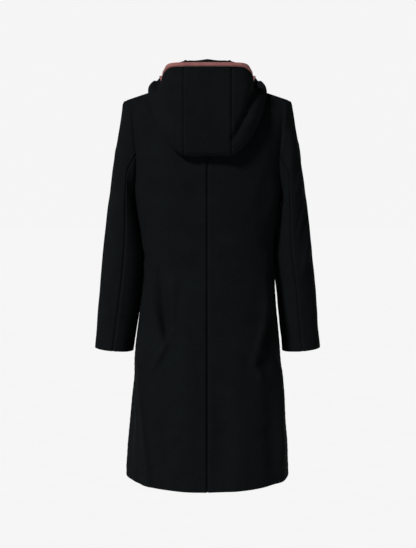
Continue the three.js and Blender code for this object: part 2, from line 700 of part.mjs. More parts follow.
// A sleeve piece between two seams
function sleeveGrids(side, fromCell, toCell) {
  const psiStep = 180 / ARM_CELLS;
  const outer = [];
  const inner = [];
  for (let cell = fromCell; cell <= toCell; cell += 1) {
    const psi = cell * psiStep;
    const outerLine = [];
    const innerLine = [];
    for (let row = 0; row <= SLEEVE_CELLS; row += 1) {
      const s = (row / SLEEVE_CELLS) ** 1.25;
      const p = sleevePoint(side, psi, s);
      const across = sleevePoint(side, psi + 1, s).sub(sleevePoint(side, psi - 1, s)).normalize();
      const inward = normalOf((a, b) => sleevePoint(side, a, b), psi, Math.max(s, 4 * STEP));
      const middleX = (sleeve.outX(s) + sleeve.inLeft(s)) / 2;
      const middle = vec(middleX, p.y * 0.2, (sleeve.outZ(s) + sleeve.inZ(s)) / 2);
      if (inward.dot(middle.sub(p)) < 0) inward.negate();
      let reach = CLOTH;
      if (row === 0) {
        inward.copy(armholeInward(psi));
        reach *= 1.18;
        const apart = across.clone().cross(inward).normalize();
        if (apart.x < 0) apart.negate();
        p.addScaledVector(apart, 2 * SEAM);
      }
      if (cell === fromCell) p.addScaledVector(across, SEAM / 2);
      if (cell === toCell) p.addScaledVector(across, -SEAM / 2);
      outerLine.push(p);
      innerLine.push(p.clone().addScaledVector(inward, reach));
    }
    outer.push(outerLine);
    inner.push(innerLine);
  }
  return [outer, inner];
}

const SLEEVE_PIECES = [
  { name: 'top_sleeve', from: FRONT_SEAM_CELL, to: BACK_SEAM_CELL, turned: (i) => i >= -FRONT_SEAM_CELL },
  {
    name: 'under_sleeve',
    from: BACK_SEAM_CELL,
    to: FRONT_SEAM_CELL + 2 * ARM_CELLS,
    turned: (i) => i < ARM_CELLS - BACK_SEAM_CELL,
  },
];
for (const piece of SLEEVE_PIECES) {
  for (const [side, sideWord] of [[1, 'left'], [-1, 'right']]) {
    const grids = sleeveGrids(side, piece.from, piece.to);
    const [outer, inner] = side > 0 ? grids : grids.map(mirrored);
    addMesh(`${piece.name}_${sideWord}`, closedWall(outer, inner, piece.turned), WOOL);
  }
}

// A hood piece between two stations. Shares run along each rib. Joint is the end of the ribs that meets
// another piece: 0 for the neckline and 1 for the last row of the panels, at the binding.
function hoodGrids(stations, sharesAt, joints) {
  const outer = [];
  const inner = [];
  stations.forEach((v, k) => {
    const outerLine = [];
    const innerLine = [];
    const shares = sharesAt(v);
    shares.forEach((share, j) => {
      const p = hoodPoint(v, share);
      const across = hoodPoint(v + STEP, share).sub(hoodPoint(v - STEP, share)).normalize();
      const along = hoodPoint(v, share + STEP).sub(hoodPoint(v, share - STEP)).normalize();
      const inward = across.clone().cross(along).normalize();
      if (share === 0) {
        const neck = neckInward(Math.abs(v));
        inward.set(v < 0 ? -neck.x : neck.x, neck.y, neck.z);
      }
      if (j === 0) p.addScaledVector(along, joints.start);
      if (j === shares.length - 1) p.addScaledVector(along, -joints.end);
      if (k === 0) p.addScaledVector(across, SEAM / 2);
      if (k === stations.length - 1) p.addScaledVector(across, -SEAM / 2);
      outerLine.push(p);
      innerLine.push(p.clone().addScaledVector(inward, HOOD_CLOTH));
    });
    outer.push(outerLine);
    inner.push(innerLine);
  });
  return [outer, inner];
}

const stripStations = backStations.slice(0, NECK_CELLS / 2 + 1);
const sideStations = [
  ...backStations.slice(NECK_CELLS / 2),
  ...range(1, 0, FRONT_NECK_CELLS).slice(1, HOOD_FRONT_CELLS + 1).map((v) => 2 - v),
];
const panelShares = (v) => [
  0,
  ribKnots[1] / 2,
  ribKnots[1],
  ribKnots[2],
  ...range(ribKnots[3], ribKnots[4], FALL_CELLS),
  ...range(ribKnots[4], ribKnots[6], FOLD_CELLS).slice(1),
  ...range(ribKnots[6], ribKnots[8], RISE_CELLS).slice(1),
  ...range(ribKnots[8], shareBeforeEdge(v, BINDING_WIDTH), CURL_CELLS).slice(1),
];
const bindingShares = (v) => range(shareBeforeEdge(v, BINDING_WIDTH), 1, 2);
const reversed = (stations) => stations.map((v) => -v).reverse();
const centreStations = [...reversed(stripStations), ...stripStations.slice(1)];
const panelJoints = { start: SEAM, end: SEAM / 2 };
const rightHalf = (stations) => (i) => i < (stations.length - 1) / 2;
const hoodCentre = hoodGrids(centreStations, panelShares, panelJoints);
addMesh('hood_centre', closedWall(...hoodCentre, rightHalf(centreStations)), WOOL);
const hoodSide = hoodGrids(sideStations, panelShares, panelJoints);
addMesh('hood_left', closedWall(...hoodSide), WOOL);
addMesh('hood_right', closedWall(...hoodSide.map(mirrored)), WOOL);
const edgeStations = [...reversed(sideStations), ...centreStations.slice(1, -1), ...sideStations];
const hoodEdge = hoodGrids(edgeStations, bindingShares, { start: SEAM / 2, end: 0 });
addMesh('hood_binding', closedWall(...hoodEdge, rightHalf(edgeStations)), TRIM);

// The share of each corner of a triangle at a place seen from the front, or null outside it
function sharesOf(a, b, c, x, z) {
  const whole = (b.x - a.x) * (c.z - a.z) - (c.x - a.x) * (b.z - a.z);
  const atB = ((x - a.x) * (c.z - a.z) - (c.x - a.x) * (z - a.z)) / whole;
  const atC = ((b.x - a.x) * (z - a.z) - (x - a.x) * (b.z - a.z)) / whole;
  const least = Math.min(atB, atC, 1 - atB - atC);
  return least < -STEP ? null : [1 - atB - atC, atB, atC];
}

// The outside of the closed fronts, on the panels' own faces. The wearer's left is positive.
function onFronts(x, z) {
  const grid = frontOutside[x > OVERLAP - 1 ? 1 : -1];
  for (let i = 0; i + 1 < grid.length; i += 1) {
    for (let j = 0; j + 1 < grid[i].length; j += 1) {
      const [a, b, c, d] = [grid[i][j], grid[i + 1][j], grid[i + 1][j + 1], grid[i][j + 1]];
      for (const corners of [[a, b, c], [a, c, d]]) {
        const shares = sharesOf(...corners, x, z);
        if (shares) return vec(x, corners.reduce((sum, p, k) => sum + p.y * shares[k], 0), z);
      }
    }
  }
  throw new Error(`no front at ${x}, ${z}`);
}

// A point at a height above the closed fronts, measured square to their general lie there
function aboveFronts(x, z, height) {
  const aside = onFronts(x + (x > OVERLAP - 1 ? LIE_SPAN : -LIE_SPAN), z).sub(onFronts(x, z));
  const above = onFronts(x, z + LIE_SPAN).sub(onFronts(x, z - LIE_SPAN));
  const out = aside.cross(above).normalize();
  return onFronts(x, z).addScaledVector(out, out.y < 0 ? height : -height);
}

// A closed tube along a line of points, with a radius at each
function tube(points, radii, sides) {
  const position = [];
  const index = [];
  const last = points.length - 1;
  let across = vec(0, 0, 1);
  points.forEach((p, k) => {
    const ahead = points[Math.min(k + 1, last)].clone().sub(points[Math.max(k - 1, 0)]).normalize();
    if (Math.abs(ahead.z) > 0.9 && k === 0) across = vec(1, 0, 0);
    const up = across.clone().addScaledVector(ahead, -across.dot(ahead)).normalize();
    const beside = ahead.clone().cross(up);
    across = up;
    for (let j = 0; j < sides; j += 1) {
      const angle = 2 * Math.PI * j / sides;
      const q = p.clone().addScaledVector(up, radii[k] * Math.cos(angle))
        .addScaledVector(beside, radii[k] * Math.sin(angle));
      position.push(q.x, q.y, q.z);
    }
  });
  for (const p of [points[0], points[last]]) position.push(p.x, p.y, p.z);
  const ends = points.length * sides;
  for (let j = 0; j < sides; j += 1) {
    const next = (j + 1) % sides;
    for (let k = 0; k < last; k += 1) {
      const a = k * sides;
      const b = a + sides;
      index.push(a + j, b + j, b + next, a + j, b + next, a + next);
    }
    index.push(ends, j, next, ends + 1, last * sides + next, last * sides + j);
  }
  return closedMesh(position, index);
}

const smoothLine = (points, cells) => (
  new THREE.CatmullRomCurve3(points, false, 'centripetal').getPoints(cells)
);

function addCord(name, z, line) {
  const points = smoothLine(line.map((row) => aboveFronts(row.x, z + row.up, row.height)), CORD_CELLS);
  addMesh(name, tube(points, points.map(() => CORD_RADIUS), CORD_SIDES), LEATHER);
}

function addPatch(name, x, z) {
  const cells = range(-1, 1, PATCH_CELLS);
  const grid = (height) => cells.map((a) => cells.map((b) => aboveFronts(
    x + a * PATCH.half * Math.sqrt(1 - PATCH.corner * b * b),
    z + b * PATCH.halfHeight * Math.sqrt(1 - PATCH.corner * a * a),
    height,
  )));
  addMesh(name, closedWall(grid(PATCH.thickness + PATCH.rise), grid(PATCH.rise)), LEATHER);
}

for (let k = 0; k < FASTENINGS; k += 1) {
  const z = FIRST_FASTENING_Z - k * FASTENING_STEP;
  const name = `fastening_${k + 1}`;
  const half = TOGGLE.length / 2;
  const middle = aboveFronts(TOGGLE.x, z, TOGGLE.height);
  const axis = aboveFronts(TOGGLE.x, z + half, TOGGLE.height)
    .sub(aboveFronts(TOGGLE.x, z - half, TOGGLE.height)).normalize();
  const points = TOGGLE_PROFILE.map((row) => middle.clone().addScaledVector(axis, row.at * half));
  addMesh(`${name}_toggle`, tube(points, TOGGLE_PROFILE.map((row) => row.radius), TOGGLE_SIDES), HORN);
  addCord(`${name}_toggle_cord`, z, TOGGLE_CORD);
  addCord(`${name}_loop`, z, LOOP);
  addPatch(`${name}_toggle_patch`, PATCH_X.toggle, z);
  addPatch(`${name}_loop_patch`, PATCH_X.loop, z);
}

export default group;
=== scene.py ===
"""A knee-length hooded duffle coat in black wool, filled out as if it were worn, with nobody in it.

Lengths in the tables are millimetres, in the frame's own axes: +Z is up, the front faces -Y and the
wearer's left is +X. Meshes are made in metres.
"""

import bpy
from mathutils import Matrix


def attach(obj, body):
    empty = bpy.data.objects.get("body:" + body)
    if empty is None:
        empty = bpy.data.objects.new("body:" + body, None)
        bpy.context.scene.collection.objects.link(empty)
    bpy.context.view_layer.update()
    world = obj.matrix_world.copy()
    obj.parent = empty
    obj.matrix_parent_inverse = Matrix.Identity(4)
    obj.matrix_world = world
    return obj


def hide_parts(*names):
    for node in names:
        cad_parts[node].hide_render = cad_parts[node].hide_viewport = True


bl_info = {
    "name": "Duffle Coat",
    "version": (1, 0, 0),
    "blender": (4, 5, 0),
    "location": "3D View > Sidebar > Duffle Coat",
    "description": "Builds a hooded wool coat piece by piece: panels, sleeves, hood, binding, toggles",
    "category": "Object",
}

import bpy
import numpy as np
from mathutils import Vector
from mathutils.bvhtree import BVHTree
from mathutils.kdtree import KDTree

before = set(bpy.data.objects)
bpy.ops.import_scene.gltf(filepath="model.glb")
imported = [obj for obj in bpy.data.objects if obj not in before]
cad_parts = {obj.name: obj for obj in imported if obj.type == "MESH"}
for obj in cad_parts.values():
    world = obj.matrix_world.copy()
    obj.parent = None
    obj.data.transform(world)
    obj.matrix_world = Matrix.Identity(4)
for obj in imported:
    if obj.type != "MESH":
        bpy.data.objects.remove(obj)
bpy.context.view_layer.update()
METRES = 0.001


def table(columns, *rows):
    """A short table, as one array for each named column."""
    return dict(zip(columns.split(), np.array(rows, float).T))


# The body
HEM_Z = -963
HEM_DIP = {"back": 13, "front": 0}
ARMPIT_Z = -265
SHOULDER_X = 200
SHOULDER_Z = -31
NECK_HALF = 75
NECK_Z = 11
NAPE = {"y": 60, "z": -5, "bend": 2}
THROAT = {"y": 80, "z": -70, "bend": 1.5}
SQUARENESS = 0.87
ARMHOLE_DEPTH = {"back": 60, "front": 62}
ARM_GAP = 1.6
ARM_SOFTNESS = 5
RIDGE_POWER = 5
OVERLAP = 38
OVERLAP_RAMP = 14
OVERLAP_EASE = 3
UNDERLAP_AT_NECK = 0.5
NECK_SHARE = 0.34
LAYER_GAP = 0.7

BODY_SECTIONS = table(
    "z left right back front",
    (-963, 203, 203, 137, 139),
    (-938, 203, 202, 137, 138),
    (-878, 199, 199, 135, 135),
    (-818, 194, 194.5, 133, 132),
    (-758, 190, 190, 130, 129),
    (-698, 184.5, 184.5, 127, 126),
    (-638, 179, 179.5, 123, 123),
    (-578, 171.5, 174, 119, 120),
    (-518, 163.5, 169, 114, 118),
    (-468, 158.5, 165.5, 110, 117),
    (-413, 159.5, 164, 107, 118),
    (-360, 165, 167, 109, 122),
    (-318, 173, 173.5, 113, 126),
    (-265, 182, 182, 117, 128),
    (-215, 185.5, 185.5, 120, 125),
    (-171, 190, 190, 120, 118),
    (-127, 197, 197, 116, 109),
    (-81, 204, 204, 106, 100),
    (-31, 207, 207, 92, 90),
    (11, 208, 208, 80, 82),
)

# Soft folds of the body. Turn is the angle round it in degrees: 0 is the centre back, 90 the wearer's
# left side, -90 the right side and 180 the centre front. A negative push is a trough.
BODY_FOLDS = table(
    "from_turn from_z to_turn to_z width push",
    (80, -430, 52, -640, 26, -9),
    (60, -360, 35, -640, 20, 4),
    (26, -510, 33, -650, 22, -5),
    (-76, -450, -48, -660, 26, -8),
    (-60, -420, -40, -690, 20, 4),
    (76, -700, 46, -960, 18, 5),
    (88, -720, 66, -960, 24, -6),
    (-70, -700, -62, -960, 24, 4),
    (100, -440, 135, -680, 26, -7),
    (-102, -430, -132, -700, 26, -7),
    (118, -700, 126, -960, 24, 5),
    (-116, -690, -128, -960, 24, 5),
)
FOLD_TURN_MM = 2.9

# Finer creases of the back, placed by where they lie seen from behind
BACK_CREASES = table(
    "from_x from_z to_x to_z width push",
    (152, -430, 108, -616, 7, 9.0),
    (118, -450, 98, -606, 12, -11.0),
    (80, -470, 84, -590, 9, 7.0),
    (84, -590, 130, -680, 7, 8.0),
    (-160, -460, -135, -586, 8, 8.0),
    (-135, -586, -110, -668, 8, 7.4),
    (-156, -560, -128, -660, 10, -6.6),
    (-101, -633, -130, -706, 9, 4.6),
    (171, -660, 142, -962, 6, 9.0),
    (187, -690, 168, -962, 9, -6.4),
    (108, -700, 96, -962, 18, -3.0),
    (-180, -700, -182, -962, 11, 5.0),
    (-150, -740, -158, -962, 15, -3.6),
    (0, -500, 0, -880, 5, -1.6),
    (-40, -730, -30, -962, 34, -6.0),
    (56, -560, 50, -962, 24, 2.4),
    (-66, -600, -70, -962, 24, 2.2),
    (150, -205, 120, -300, 13, -2.4),
    (168, -232, 152, -330, 9, 2.2),
    (-150, -205, -124, -300, 13, -2.4),
    (-168, -236, -150, -330, 9, 2.2),
)
# The same for the fronts
FRONT_CREASES = table(
    "from_x from_z to_x to_z width push",
    (150, -320, 120, -600, 12, 2.0),
    (136, -420, 104, -650, 10, -1.8),
    (-150, -330, -122, -610, 12, 2.0),
    (-138, -430, -104, -640, 10, -1.8),
    (168, -700, 150, -962, 12, 2.4),
    (-170, -690, -152, -962, 12, 2.2),
    (96, -690, 92, -962, 18, -1.6),
    (-104, -690, -98, -962, 18, -1.6),
    (152, -190, 116, -290, 12, -1.8),
    (-152, -190, -116, -290, 12, -1.8),
)

# The sleeves, from the armhole to the cuff
SLEEVE_SECTIONS = table(
    "s out_x out_z in_left in_right in_z back front",
    (0, 200, -31, 182, 182, -265, 60, -62),
    (0.03, 207.5, -38, 182, 182, -269, 61, -64),
    (0.09, 214, -74, 181, 181, -275, 62, -68),
    (0.17, 221.5, -121, 179, 179, -286, 62, -72),
    (0.26, 231, -178, 175, 175, -303, 60, -75),
    (0.37, 241.5, -248, 168, 170, -334, 55, -78),
    (0.51, 253.5, -339, 158, 163, -390, 47, -80),
    (0.62, 262, -412, 156, 164, -442, 41, -80),
    (0.74, 270, -490, 161, 173, -506, 34, -78),
    (0.88, 277.5, -584, 176.5, 181, -594, 27, -73),
    (1, 283, -647.5, 187, 188, -655.5, 23, -70),
)
SLEEVE_TWIST = 10
CAP_BLEND = 0.16
BACK_SEAM_PSI = 100
FRONT_SEAM_PSI = -120
SLEEVE_TURN_MM = 0.95
SLEEVE_LENGTH = 640

# Soft folds of the sleeves. Psi is the angle round a ring: 0 is the outside, 90 the back, -90 the front.
SLEEVE_FOLDS = table(
    "side from_psi from_s to_psi to_s width push",
    (-1, 30, 0.3, 62, 0.47, 13, 3.5),
    (-1, 22, 0.42, 58, 0.62, 13, 3.5),
    (-1, 26, 0.36, 60, 0.54, 13, -3),
    (1, 24, 0.4, 60, 0.58, 15, -2.5),
    (1, -60, 0.45, -100, 0.62, 14, -3),
    (-1, -60, 0.46, -100, 0.6, 14, -3),
)
SLEEVE_CREASES = table(
    "side from_psi from_s to_psi to_s width push",
    (-1, 10, 0.2, 70, 0.33, 9, 2.6),
    (-1, 40, 0.36, 84, 0.5, 7, -2.8),
    (-1, 36, 0.55, 78, 0.68, 9, 3.0),
    (-1, 30, 0.74, 84, 0.84, 12, -1.4),
    (1, 20, 0.22, 76, 0.36, 10, 2.4),
    (1, 34, 0.46, 82, 0.6, 9, 2.6),
    (1, 30, 0.68, 84, 0.8, 12, -1.4),
    (1, 110, 0.16, 150, 0.3, 9, -1.6),
    (-1, 110, 0.16, 150, 0.3, 9, -1.6),
    (1, -20, 0.5, -84, 0.6, 9, 1.6),
    (-1, -16, 0.48, -80, 0.58, 9, 1.6),
    (1, -30, 0.62, -96, 0.7, 10, -1.6),
    (-1, -30, 0.64, -96, 0.72, 10, -1.6),
)

# The hood. Each row is a rib of cloth from the neckline over the roll, down to the fold and up to the edge.
# Station v is 0 at the centre back, 1 at the shoulder seam and 2 at the centre front.
HOOD_RIBS = table(
    "v roll_x roll_y roll_z fold_x fold_y fold_z edge_x edge_y edge_z",
    (0, 0, 76, 60, 0, 136, -169, 0, 143, 50),
    (0.3, 27, 73, 57, 29, 135, -169, 29, 143, 50),
    (0.5628, 53, 63, 57, 57, 133, -168, 57, 140, 50),
    (0.7, 68, 50, 54, 82, 126, -150, 89, 129, 48),
    (0.85, 81, 32, 48, 107, 110, -118, 105, 108, 32),
    (1, 88, 12, 40, 126, 82, -74, 113, 78, 15),
    (1.15, 91, -8, 27, 137, 38, -24, 116, 39, 10),
    (1.3, 88, -28, 14.5, 130, -13, -6, 114, -12, 24),
    (1.45, 79, -48, 0, 118, -52, -38, 110, -53, -3),
    (1.63, 62, -68, -20, 88, -82, -66, 85, -90, -42),
)
ROLL_RADIUS = 9
FOLD_RADIUS = 13
HOOD_BULGE = 11
HOOD_FRONT_SCALE = 0.5
HOOD_GAP = 2.4
HOOD_FRONT_STATION = 1.625
SHOULDER_ROOM = {"height": 5, "width": 42}
STRIP_ANGLE = 50.65
BINDING_WIDTH = 9
# The edge curls in at the hood's sides, between these stations
CURL = {"from": 0.62, "full": 0.95, "less": 1.1, "to": 1.4}
CURL_LENGTH = 22
CURL_BEFORE = (0, -9)
CURL_TOP = (-6, 0)
CURL_END = (-17, -1)

# Creases of the hood's outer side, placed the same way as the back's
HOOD_CREASES = table(
    "from_x from_z to_x to_z width push",
    (-120, 2, -92, -70, 9, -11),
    (-92, -70, -62, -128, 8, -9),
    (-130, -24, -106, -88, 11, 5),
    (126, 4, 118, -30, 8, -3),
    (134, -8, 124, -40, 10, 3),
    (96, 26, 74, -70, 16, -1.6),
    (70, -40, 60, -150, 14, 1.2),
    (20, 30, 12, -120, 26, 1.0),
    (-30, 20, -36, -120, 22, -1.2),
    (40, -120, -40, -128, 14, 1.4),
)

# Toggle fastenings, from the top one down
FASTENINGS = 3
FIRST_FASTENING_Z = -160
FASTENING_STEP = 150
TOGGLE = {"x": 10, "height": 14, "length": 54}
# Half of a toggle, from its waist to its tip. At is a share of half its length.
TOGGLE_PROFILE = table(
    "at radius",
    (0.11, 4.4),
    (0.15, 5.0),
    (0.18, 6.4),
    (0.24, 7.2),
    (0.36, 7.6),
    (0.55, 7.6),
    (0.74, 7.1),
    (0.88, 6.0),
    (0.95, 4.4),
    (0.985, 2.6),
    (1, 0.4),
)
CORD_RADIUS = 2
PATCH = {"half": 19, "half_height": 15, "thickness": 2, "corner": 0.2, "rise": 0.7}
PATCH_EDGE = {"rim": 0.45, "bevel": 1.6, "groove_at": 2.6, "groove_width": 0.7, "groove_depth": 0.35}
PATCH_THREAD = {"above": 1.85, "roundness": 0.35, "inset": 0.98}
PATCH_X = {"toggle": 84, "loop": -77}
# Height is measured out from the front. Up is along it.
TOGGLE_CORD = table(
    "x up height",
    (64, 2.5, 2.6),
    (52, 2.5, 5),
    (42, 2.5, 10.5),
    (30, 1.8, 14.5),
    (18, 0.8, 19.6),
    (10, 0.3, 21),
    (4.4, 0, 18.6),
    (3, 0, 14),
    (4.4, 0, 9.2),
    (10, -0.3, 7),
    (20, -0.8, 7.4),
    (32, -2.5, 7.6),
    (44, -2.5, 7.6),
    (54, -2.5, 3.6),
    (64, -2.5, 2.6),
)
LOOP = table(
    "x up height",
    (-57, 2.6, 3.1),
    (-38, 3.4, 3.6),
    (-14, 5.4, 2.5),
    (2, 7.2, 2.5),
    (16, 8, 2.5),
    (26, 5.5, 2.5),
    (29.5, 0, 2.5),
    (26, -5.5, 2.5),
    (16, -8, 2.5),
    (2, -7.2, 2.5),
    (-14, -5.4, 2.5),
    (-38, -3.4, 3.6),
    (-57, -2.6, 3.1),
)
LIE_SPAN = 18
UP = np.array((0, 0, 1.0))


# Plain mathematics of curves and grids


def vec(x, y, z):
    return np.stack(np.broadcast_arrays(x, y, z), axis=-1).astype(float)


def mix(a, b, t):
    return a + (b - a) * t


def clamp(t):
    return np.clip(t, 0.0, 1.0)


def ease(t):
    return clamp(t) ** 2 * (3 - 2 * clamp(t))


def bump(d):
    return np.exp(-d * d)


def unit(v):
    return v / np.maximum(np.linalg.norm(v, axis=-1, keepdims=True), 1e-9)


def smooth_curve(at, values):
    """A smooth curve through values, one for each place, as a function of place."""
    at, values = np.asarray(at, float), np.asarray(values, float)
    slope = np.empty_like(values)
    gaps = (at[2:] - at[:-2]).reshape(-1, *[1] * (values.ndim - 1))
    slope[1:-1] = (values[2:] - values[:-2]) / gaps
    slope[0] = (values[1] - values[0]) / (at[1] - at[0])
    slope[-1] = (values[-1] - values[-2]) / (at[-1] - at[-2])

    def curve(place):
        place = np.asarray(place, float)
        k = np.clip(np.searchsorted(at, place, side="right") - 1, 0, len(at) - 2)
        gap = at[k + 1] - at[k]
        raw = (place - at[k]) / gap
        wide = (...,) + (None,) * (values.ndim - 1)
        raw, gap = raw[wide], gap[wide]
        t = clamp(raw)
        rise = values[k + 1] - values[k]
        a, b = slope[k] * gap, slope[k + 1] * gap
        inside = values[k] + t * (a + t * (3 * rise - 2 * a - b + t * (a + b - 2 * rise)))
        return inside + np.where(raw < 0, a, b) * (raw - t)

    return curve


def columns_of(rows, key):
    return {name: smooth_curve(rows[key], rows[name]) for name in rows}


BODY = columns_of(BODY_SECTIONS, "z")
SLEEVE = columns_of(SLEEVE_SECTIONS, "s")
HOOD = columns_of(HOOD_RIBS, "v")


def line_push(start, end, width, push, across, along):
    """How far one fold moves the cloth, by the distance of each place from the fold's line."""
    line = np.subtract(end, start)
    away = (across - start[0], along - start[1])
    t = clamp((away[0] * line[0] + away[1] * line[1]) / (line @ line))
    d = np.hypot(away[0] - t * line[0], away[1] - t * line[1])
    return push * bump(d / width) * (0.35 + 0.65 * np.sin(np.pi * (0.12 + 0.76 * t)))


def folds_push(folds, across, along, scale=(1, 1)):
    """The push of a table's folds. Its first four columns say where each starts and where it ends."""
    push = 0
    for *ends, width, height in zip(*folds.values()):
        start, end = np.multiply(ends[:2], scale), np.multiply(ends[2:], scale)
        push = push + line_push(start, end, width, height, across, along)
    return push


def sleeve_folds_push(folds, side, psi, s):
    own = {name: column[folds["side"] == side] for name, column in folds.items() if name != "side"}
    scale = (SLEEVE_TURN_MM, SLEEVE_LENGTH)
    return folds_push(own, psi * scale[0], s * scale[1], scale)


def unevenness(x, z, seed, size, height):
    """Slow waves of the cloth, the same on each run."""
    rng = np.random.default_rng(seed)
    waves = 0
    for _ in range(7):
        angle, phase = rng.uniform(0, 2 * np.pi, 2)
        pitch = size * rng.uniform(0.7, 1.6)
        waves = waves + np.sin((x * np.cos(angle) + z * np.sin(angle)) * 2 * np.pi / pitch + phase)
    return height * waves / 7**0.5


# The shape of the coat


def neck_point(v):
    """The neckline. Station 0 is the nape, 1 the neck point and 2 the throat."""
    behind = v <= 1
    angle = np.where(behind, v, 2 - v) * np.pi / 2
    down = np.maximum(np.cos(angle), 0)
    bend = np.where(behind, NAPE["bend"], THROAT["bend"])
    z = mix(NECK_Z, np.where(behind, NAPE["z"], THROAT["z"]), down**bend)
    y = np.where(behind, NAPE["y"], -THROAT["y"]) * down
    return vec(NECK_HALF * np.sin(angle), y, z)


def top_point(face, share):
    """The top edge of a panel: half the neckline and then the shoulder seam."""
    station = np.minimum(share / NECK_SHARE, 1)
    neck = neck_point(station if face > 0 else 2 - station)
    x = mix(NECK_HALF, SHOULDER_X, (share - NECK_SHARE) / (1 - NECK_SHARE))
    z = mix(NECK_Z, SHOULDER_Z, (x - NECK_HALF) / (SHOULDER_X - NECK_HALF))
    return np.where((share <= NECK_SHARE)[..., None], neck, vec(x, 0.0, z))


def half_width(side, z):
    return BODY["left" if side > 0 else "right"](z)


def plain_body_point(face, side, share, level):
    """The outside of the body. Share runs from the centre to the side or armhole, 0 to 1, and level from
    the hem (0) past the armpit (1) to the top (2)."""
    share, level = np.broadcast_arrays(share, level)
    up = clamp(level - 1)
    end, column = (NAPE, "back") if face > 0 else (THROAT, "front")
    arm_z = (ARMPIT_Z + SHOULDER_Z) / 2 - (SHOULDER_Z - ARMPIT_Z) / 2 * np.cos(np.pi * up)
    hem_z = HEM_Z - HEM_DIP[column] * (1 - ease(share))
    above = mix(mix(ARMPIT_Z, end["z"], up), arm_z, share**2)
    z = np.where(level <= 1, mix(hem_z, ARMPIT_Z, level), above)
    depth = BODY[column](z)
    arm_depth = ARMHOLE_DEPTH[column] * np.sin(np.pi * np.minimum(up, 0.5))
    limit = np.arccos(np.minimum(arm_depth / depth, 1) ** (1 / SQUARENESS))
    angle = np.abs(share) * limit
    x = half_width(side, z) * np.maximum(np.sin(angle), 0) ** SQUARENESS
    y = face * depth * np.maximum(np.cos(angle), 0) ** SQUARENESS
    return mix(vec(x, y, z), top_point(face, share), up[..., None] ** RIDGE_POWER)


def body_push(face, side, share, z):
    turn = side * (90 * share if face > 0 else 180 - 90 * share)
    push = folds_push(BODY_FOLDS, turn * FOLD_TURN_MM, z, (FOLD_TURN_MM, 1))
    return push * (1 - ease((z - ARMPIT_Z + 90) / 80))


def body_point(face, side, share, level):
    p = plain_body_point(face, side, share, level)
    z = p[..., 2]
    depth = BODY["back" if face > 0 else "front"](z)
    out = unit(vec(p[..., 0] / half_width(side, z) ** 2, p[..., 1] / depth**2, 0.0))
    return p + out * body_push(face, side, share, z)[..., None]


def share_at(side, x, level):
    """The share of the way to the side at which the front reaches a distance from the centre."""
    low, high = np.zeros(np.shape(x)), np.ones(np.shape(x))
    for _ in range(24):
        middle = (low + high) / 2
        short = body_point(-1, side, middle, level)[..., 0] < x
        low, high = np.where(short, middle, low), np.where(short, high, middle)
    return (low + high) / 2


def underlap(level):
    """How far the left front's edge lies past the centre, under the right front."""
    return mix(OVERLAP, UNDERLAP_AT_NECK, ease((level - 1.5) / 0.4))


def front_point(side, share, level):
    """A front, on the wearer's own side as +X. A negative share lies past the centre; -1 is the edge."""
    share, level = np.broadcast_arrays(share, level)
    past = np.maximum(-share, 0) * (underlap(level) if side > 0 else OVERLAP)
    lapped = body_point(-1, 1, share_at(1, past, level), level)
    lapped[..., 0] = -past
    return np.where((share >= 0)[..., None], body_point(-1, side, np.maximum(share, 0), level), lapped)


def lap_lift(x, level, cloth):
    """How far the wearer's right front stands out where it laps over the left one."""
    past = x + underlap(level) + OVERLAP_EASE + OVERLAP_RAMP
    return (cloth + LAYER_GAP) * ease(past / OVERLAP_RAMP)


def armhole_point(side, psi):
    """The armhole, on the wearer's left. Psi is 0 at the shoulder, 90 at the back and -90 at the front."""
    turned = (psi + 540) % 360 - 180
    level = 2 - np.abs(turned) / 180
    behind = plain_body_point(1, side, np.ones_like(level), level)
    before = plain_body_point(-1, side, np.ones_like(level), level)
    return np.where((turned >= 0)[..., None], behind, before)


def clear_of_body(side, p):
    """Sleeve points moved out until they lie just clear of the side of the body."""
    x, y, z = np.moveaxis(p, -1, 0)
    behind = y >= 0
    depth = np.where(behind, BODY["back"](z), BODY["front"](z))
    angle = np.arccos(clamp(np.abs(y) / depth) ** (1 / SQUARENESS))
    share = angle / (np.pi / 2)
    push = np.where(behind, body_push(1, side, share, z), body_push(-1, side, share, z))
    wall = half_width(side, z) * np.sin(angle) ** SQUARENESS + push + ARM_GAP
    over = clamp(0.5 + 0.5 * (x - wall) / ARM_SOFTNESS)
    moved = mix(wall, x, over) + ARM_SOFTNESS * over * (1 - over)
    return vec(mix(x, moved, ease((ARMPIT_Z - z) / 30)), y, z)


def sleeve_point(side, psi, s):
    psi, s = np.broadcast_arrays(psi, s)

    def ring(at):
        turn = np.radians(psi - SLEEVE_TWIST * ease(at))
        row = {name: curve(at) for name, curve in SLEEVE.items()}
        in_x = row["in_left" if side > 0 else "in_right"]
        middle = vec(
            (row["out_x"] + in_x) / 2, (row["back"] + row["front"]) / 2, (row["out_z"] + row["in_z"]) / 2
        )
        out = vec(
            (row["out_x"] - in_x) / 2 * np.cos(turn),
            (row["back"] - row["front"]) / 2 * np.sin(turn),
            (row["out_z"] - row["in_z"]) / 2 * np.cos(turn),
        )
        return middle, out

    middle, out = ring(s)
    start_middle, start_out = ring(np.zeros_like(s))
    error = armhole_point(side, psi) - start_middle - start_out
    p = middle + out + error * (1 - ease(s / CAP_BLEND))[..., None]
    turned = (psi + 540) % 360 - 180
    push = sleeve_folds_push(SLEEVE_FOLDS, side, turned, s) * ease(s / CAP_BLEND)
    return clear_of_body(side, p + unit(out) * push[..., None])


def grid_normals(grid):
    """Unit normals of a grid whose two directions turn round the outside the same way."""
    return unit(np.cross(np.gradient(grid, axis=0), np.gradient(grid, axis=1)))


